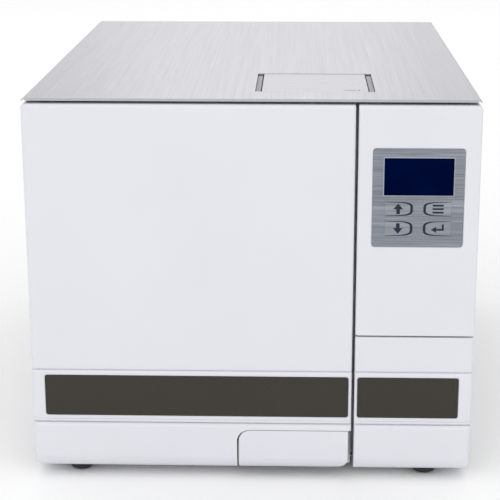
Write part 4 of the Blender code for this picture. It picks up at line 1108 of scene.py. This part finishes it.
def dress_rest():
    finishes = (
        (ZINC, 0.0003, ("base_tray", "chamber_cradle", "service_panel", "lock_solenoid")),
        (BRASS, 0.0003, ("heater_band", "safety_valve", "drain_tap_clean", "drain_tap_waste")),
        (WOOL, 0.0, ("insulation_jacket",)),
        (POLISHED, 0.0003, ("steam_generator", "steam_pipe", "hinge_pin", "lock_pin")),
        (TANK, 0.0005, ("water_tank",)),
        (MOTOR, 0.0005, ("vacuum_pump",)),
        (FINS, 0.0, ("condenser_core",)),
        (BLACK, 0.0004, ("fan_housing", "fan_rotor", "drain_knob_clean", "drain_knob_waste", "power_rocker")),
        (BOARD, 0.0, ("main_board", "control_board")),
        (STEEL_PLATE, 0.0003, ("hinge_bracket", "service_hinge")),
        (FILTER_WHITE, 0.0005, ("air_filter",)),
    )
    for material, edge, nodes in finishes:
        for node in nodes:
            dress(node, material, edge)
    panel_low, panel_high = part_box("service_panel")
    places = [(x, panel_low.y, z) for x in (panel_low.x + 0.006, panel_high.x - 0.014)
              for z in (panel_low.z + 0.006, panel_high.z - 0.006)]
    screws("service_screw", places, (0, -1, 0), radius=0.0028, height=0.0012)


# ---------------------------------------------------------------- stage, light and camera

def build_stage():
    """Plain pale floor and a pale surround that dims overhead and to the sides."""
    bm = bmesh.new()
    bmesh.ops.create_grid(bm, x_segments=1, y_segments=1, size=30.0)
    floor = link("floor", mesh_from(bm, "floor"))
    floor.location.z = -0.0005
    floor.data.materials.append(new_material("floor_white", (0.97, 0.97, 0.97), 0.9, specular=0.1)[0])

    world = bpy.data.worlds.new("studio")
    bpy.context.scene.world = world
    world.use_nodes = True
    background = world.node_tree.nodes["Background"]
    background.inputs["Strength"].default_value = 1.19
    fall = sky_falloff(world)
    world.node_tree.links.new(fall, background.inputs["Color"])
    bpy.context.scene.view_settings.view_transform = "Standard"


def sky_falloff(world):
    """World brightness: full towards the horizon, falling off overhead and to the sides."""
    direction = add_node(world, "ShaderNodeTexCoord")
    axes = add_node(world, "ShaderNodeSeparateXYZ")
    world.node_tree.links.new(direction.outputs["Generated"], axes.inputs["Vector"])
    upward = ranged(world, axes.outputs["Z"], 1.0, 0.78, 0.15, 0.85)
    sideways = add_node(world, "ShaderNodeMath", operation="ABSOLUTE")
    world.node_tree.links.new(axes.outputs["X"], sideways.inputs[0])
    across = ranged(world, sideways.outputs[0], 1.0, 0.55, 0.05, 0.70)
    both = add_node(world, "ShaderNodeMath", operation="MULTIPLY")
    world.node_tree.links.new(upward, both.inputs[0])
    world.node_tree.links.new(across, both.inputs[1])
    return both.outputs[0]


def area_light(name, place, target, size, power):
    light = bpy.data.lights.new(name, "AREA")
    light.shape = "RECTANGLE"
    light.size, light.size_y = size
    light.energy = power
    obj = bpy.data.objects.new(name, light)
    bpy.context.scene.collection.objects.link(obj)
    obj.location = place
    obj.rotation_euler = (Vector(target) - Vector(place)).to_track_quat("-Z", "Y").to_euler()


def sun(name, direction, strength, spread):
    light = bpy.data.lights.new(name, "SUN")
    light.energy = strength
    light.angle = math.radians(spread)
    obj = bpy.data.objects.new(name, light)
    bpy.context.scene.collection.objects.link(obj)
    obj.rotation_euler = Vector(direction).to_track_quat("-Z", "Y").to_euler()


def build_lights():
    sun("soft_overhead", (0.1, 0.45, -1.0), 0.9, 120.0)
    area_light("behind", (-0.15, 3.5, 1.75), (0.0, 0.0, TOP), (1.1, 0.5), 1.6)
    area_light("front_left", (-1.6, -2.4, 1.5), (0.0, -0.2, 0.2), (1.6, 1.6), 8.0)
    area_light("front_right", (2.0, -2.0, 1.2), (0.0, -0.2, 0.2), (1.4, 1.4), 4.0)


def build_camera():
    data = bpy.data.cameras.new("camera")
    data.sensor_width = 36.0
    data.lens = 104.0
    data.shift_x = -0.03
    data.shift_y = -0.05
    camera = bpy.data.objects.new("camera", data)
    bpy.context.scene.collection.objects.link(camera)
    camera.location = (0.052, -1.772, 0.698)
    pitch, yaw = math.radians(15.51), math.radians(-1.45)
    forward = Vector((math.sin(yaw) * math.cos(pitch), math.cos(yaw) * math.cos(pitch), -math.sin(pitch)))
    camera.rotation_euler = forward.to_track_quat("-Z", "Y").to_euler()
    bpy.context.scene.camera = camera


def main():
    build_stage()
    build_lights()
    build_camera()
    build_casing()
    build_side_screws()
    build_feet()
    build_back()
    build_door_cover()
    build_lever()
    build_fascia()
    build_service_door()
    build_strips()
    build_panel_plate()
    build_keys()
    build_lid()
    build_chamber()
    build_door_back()
    build_trays()
    dress_rest()


main()
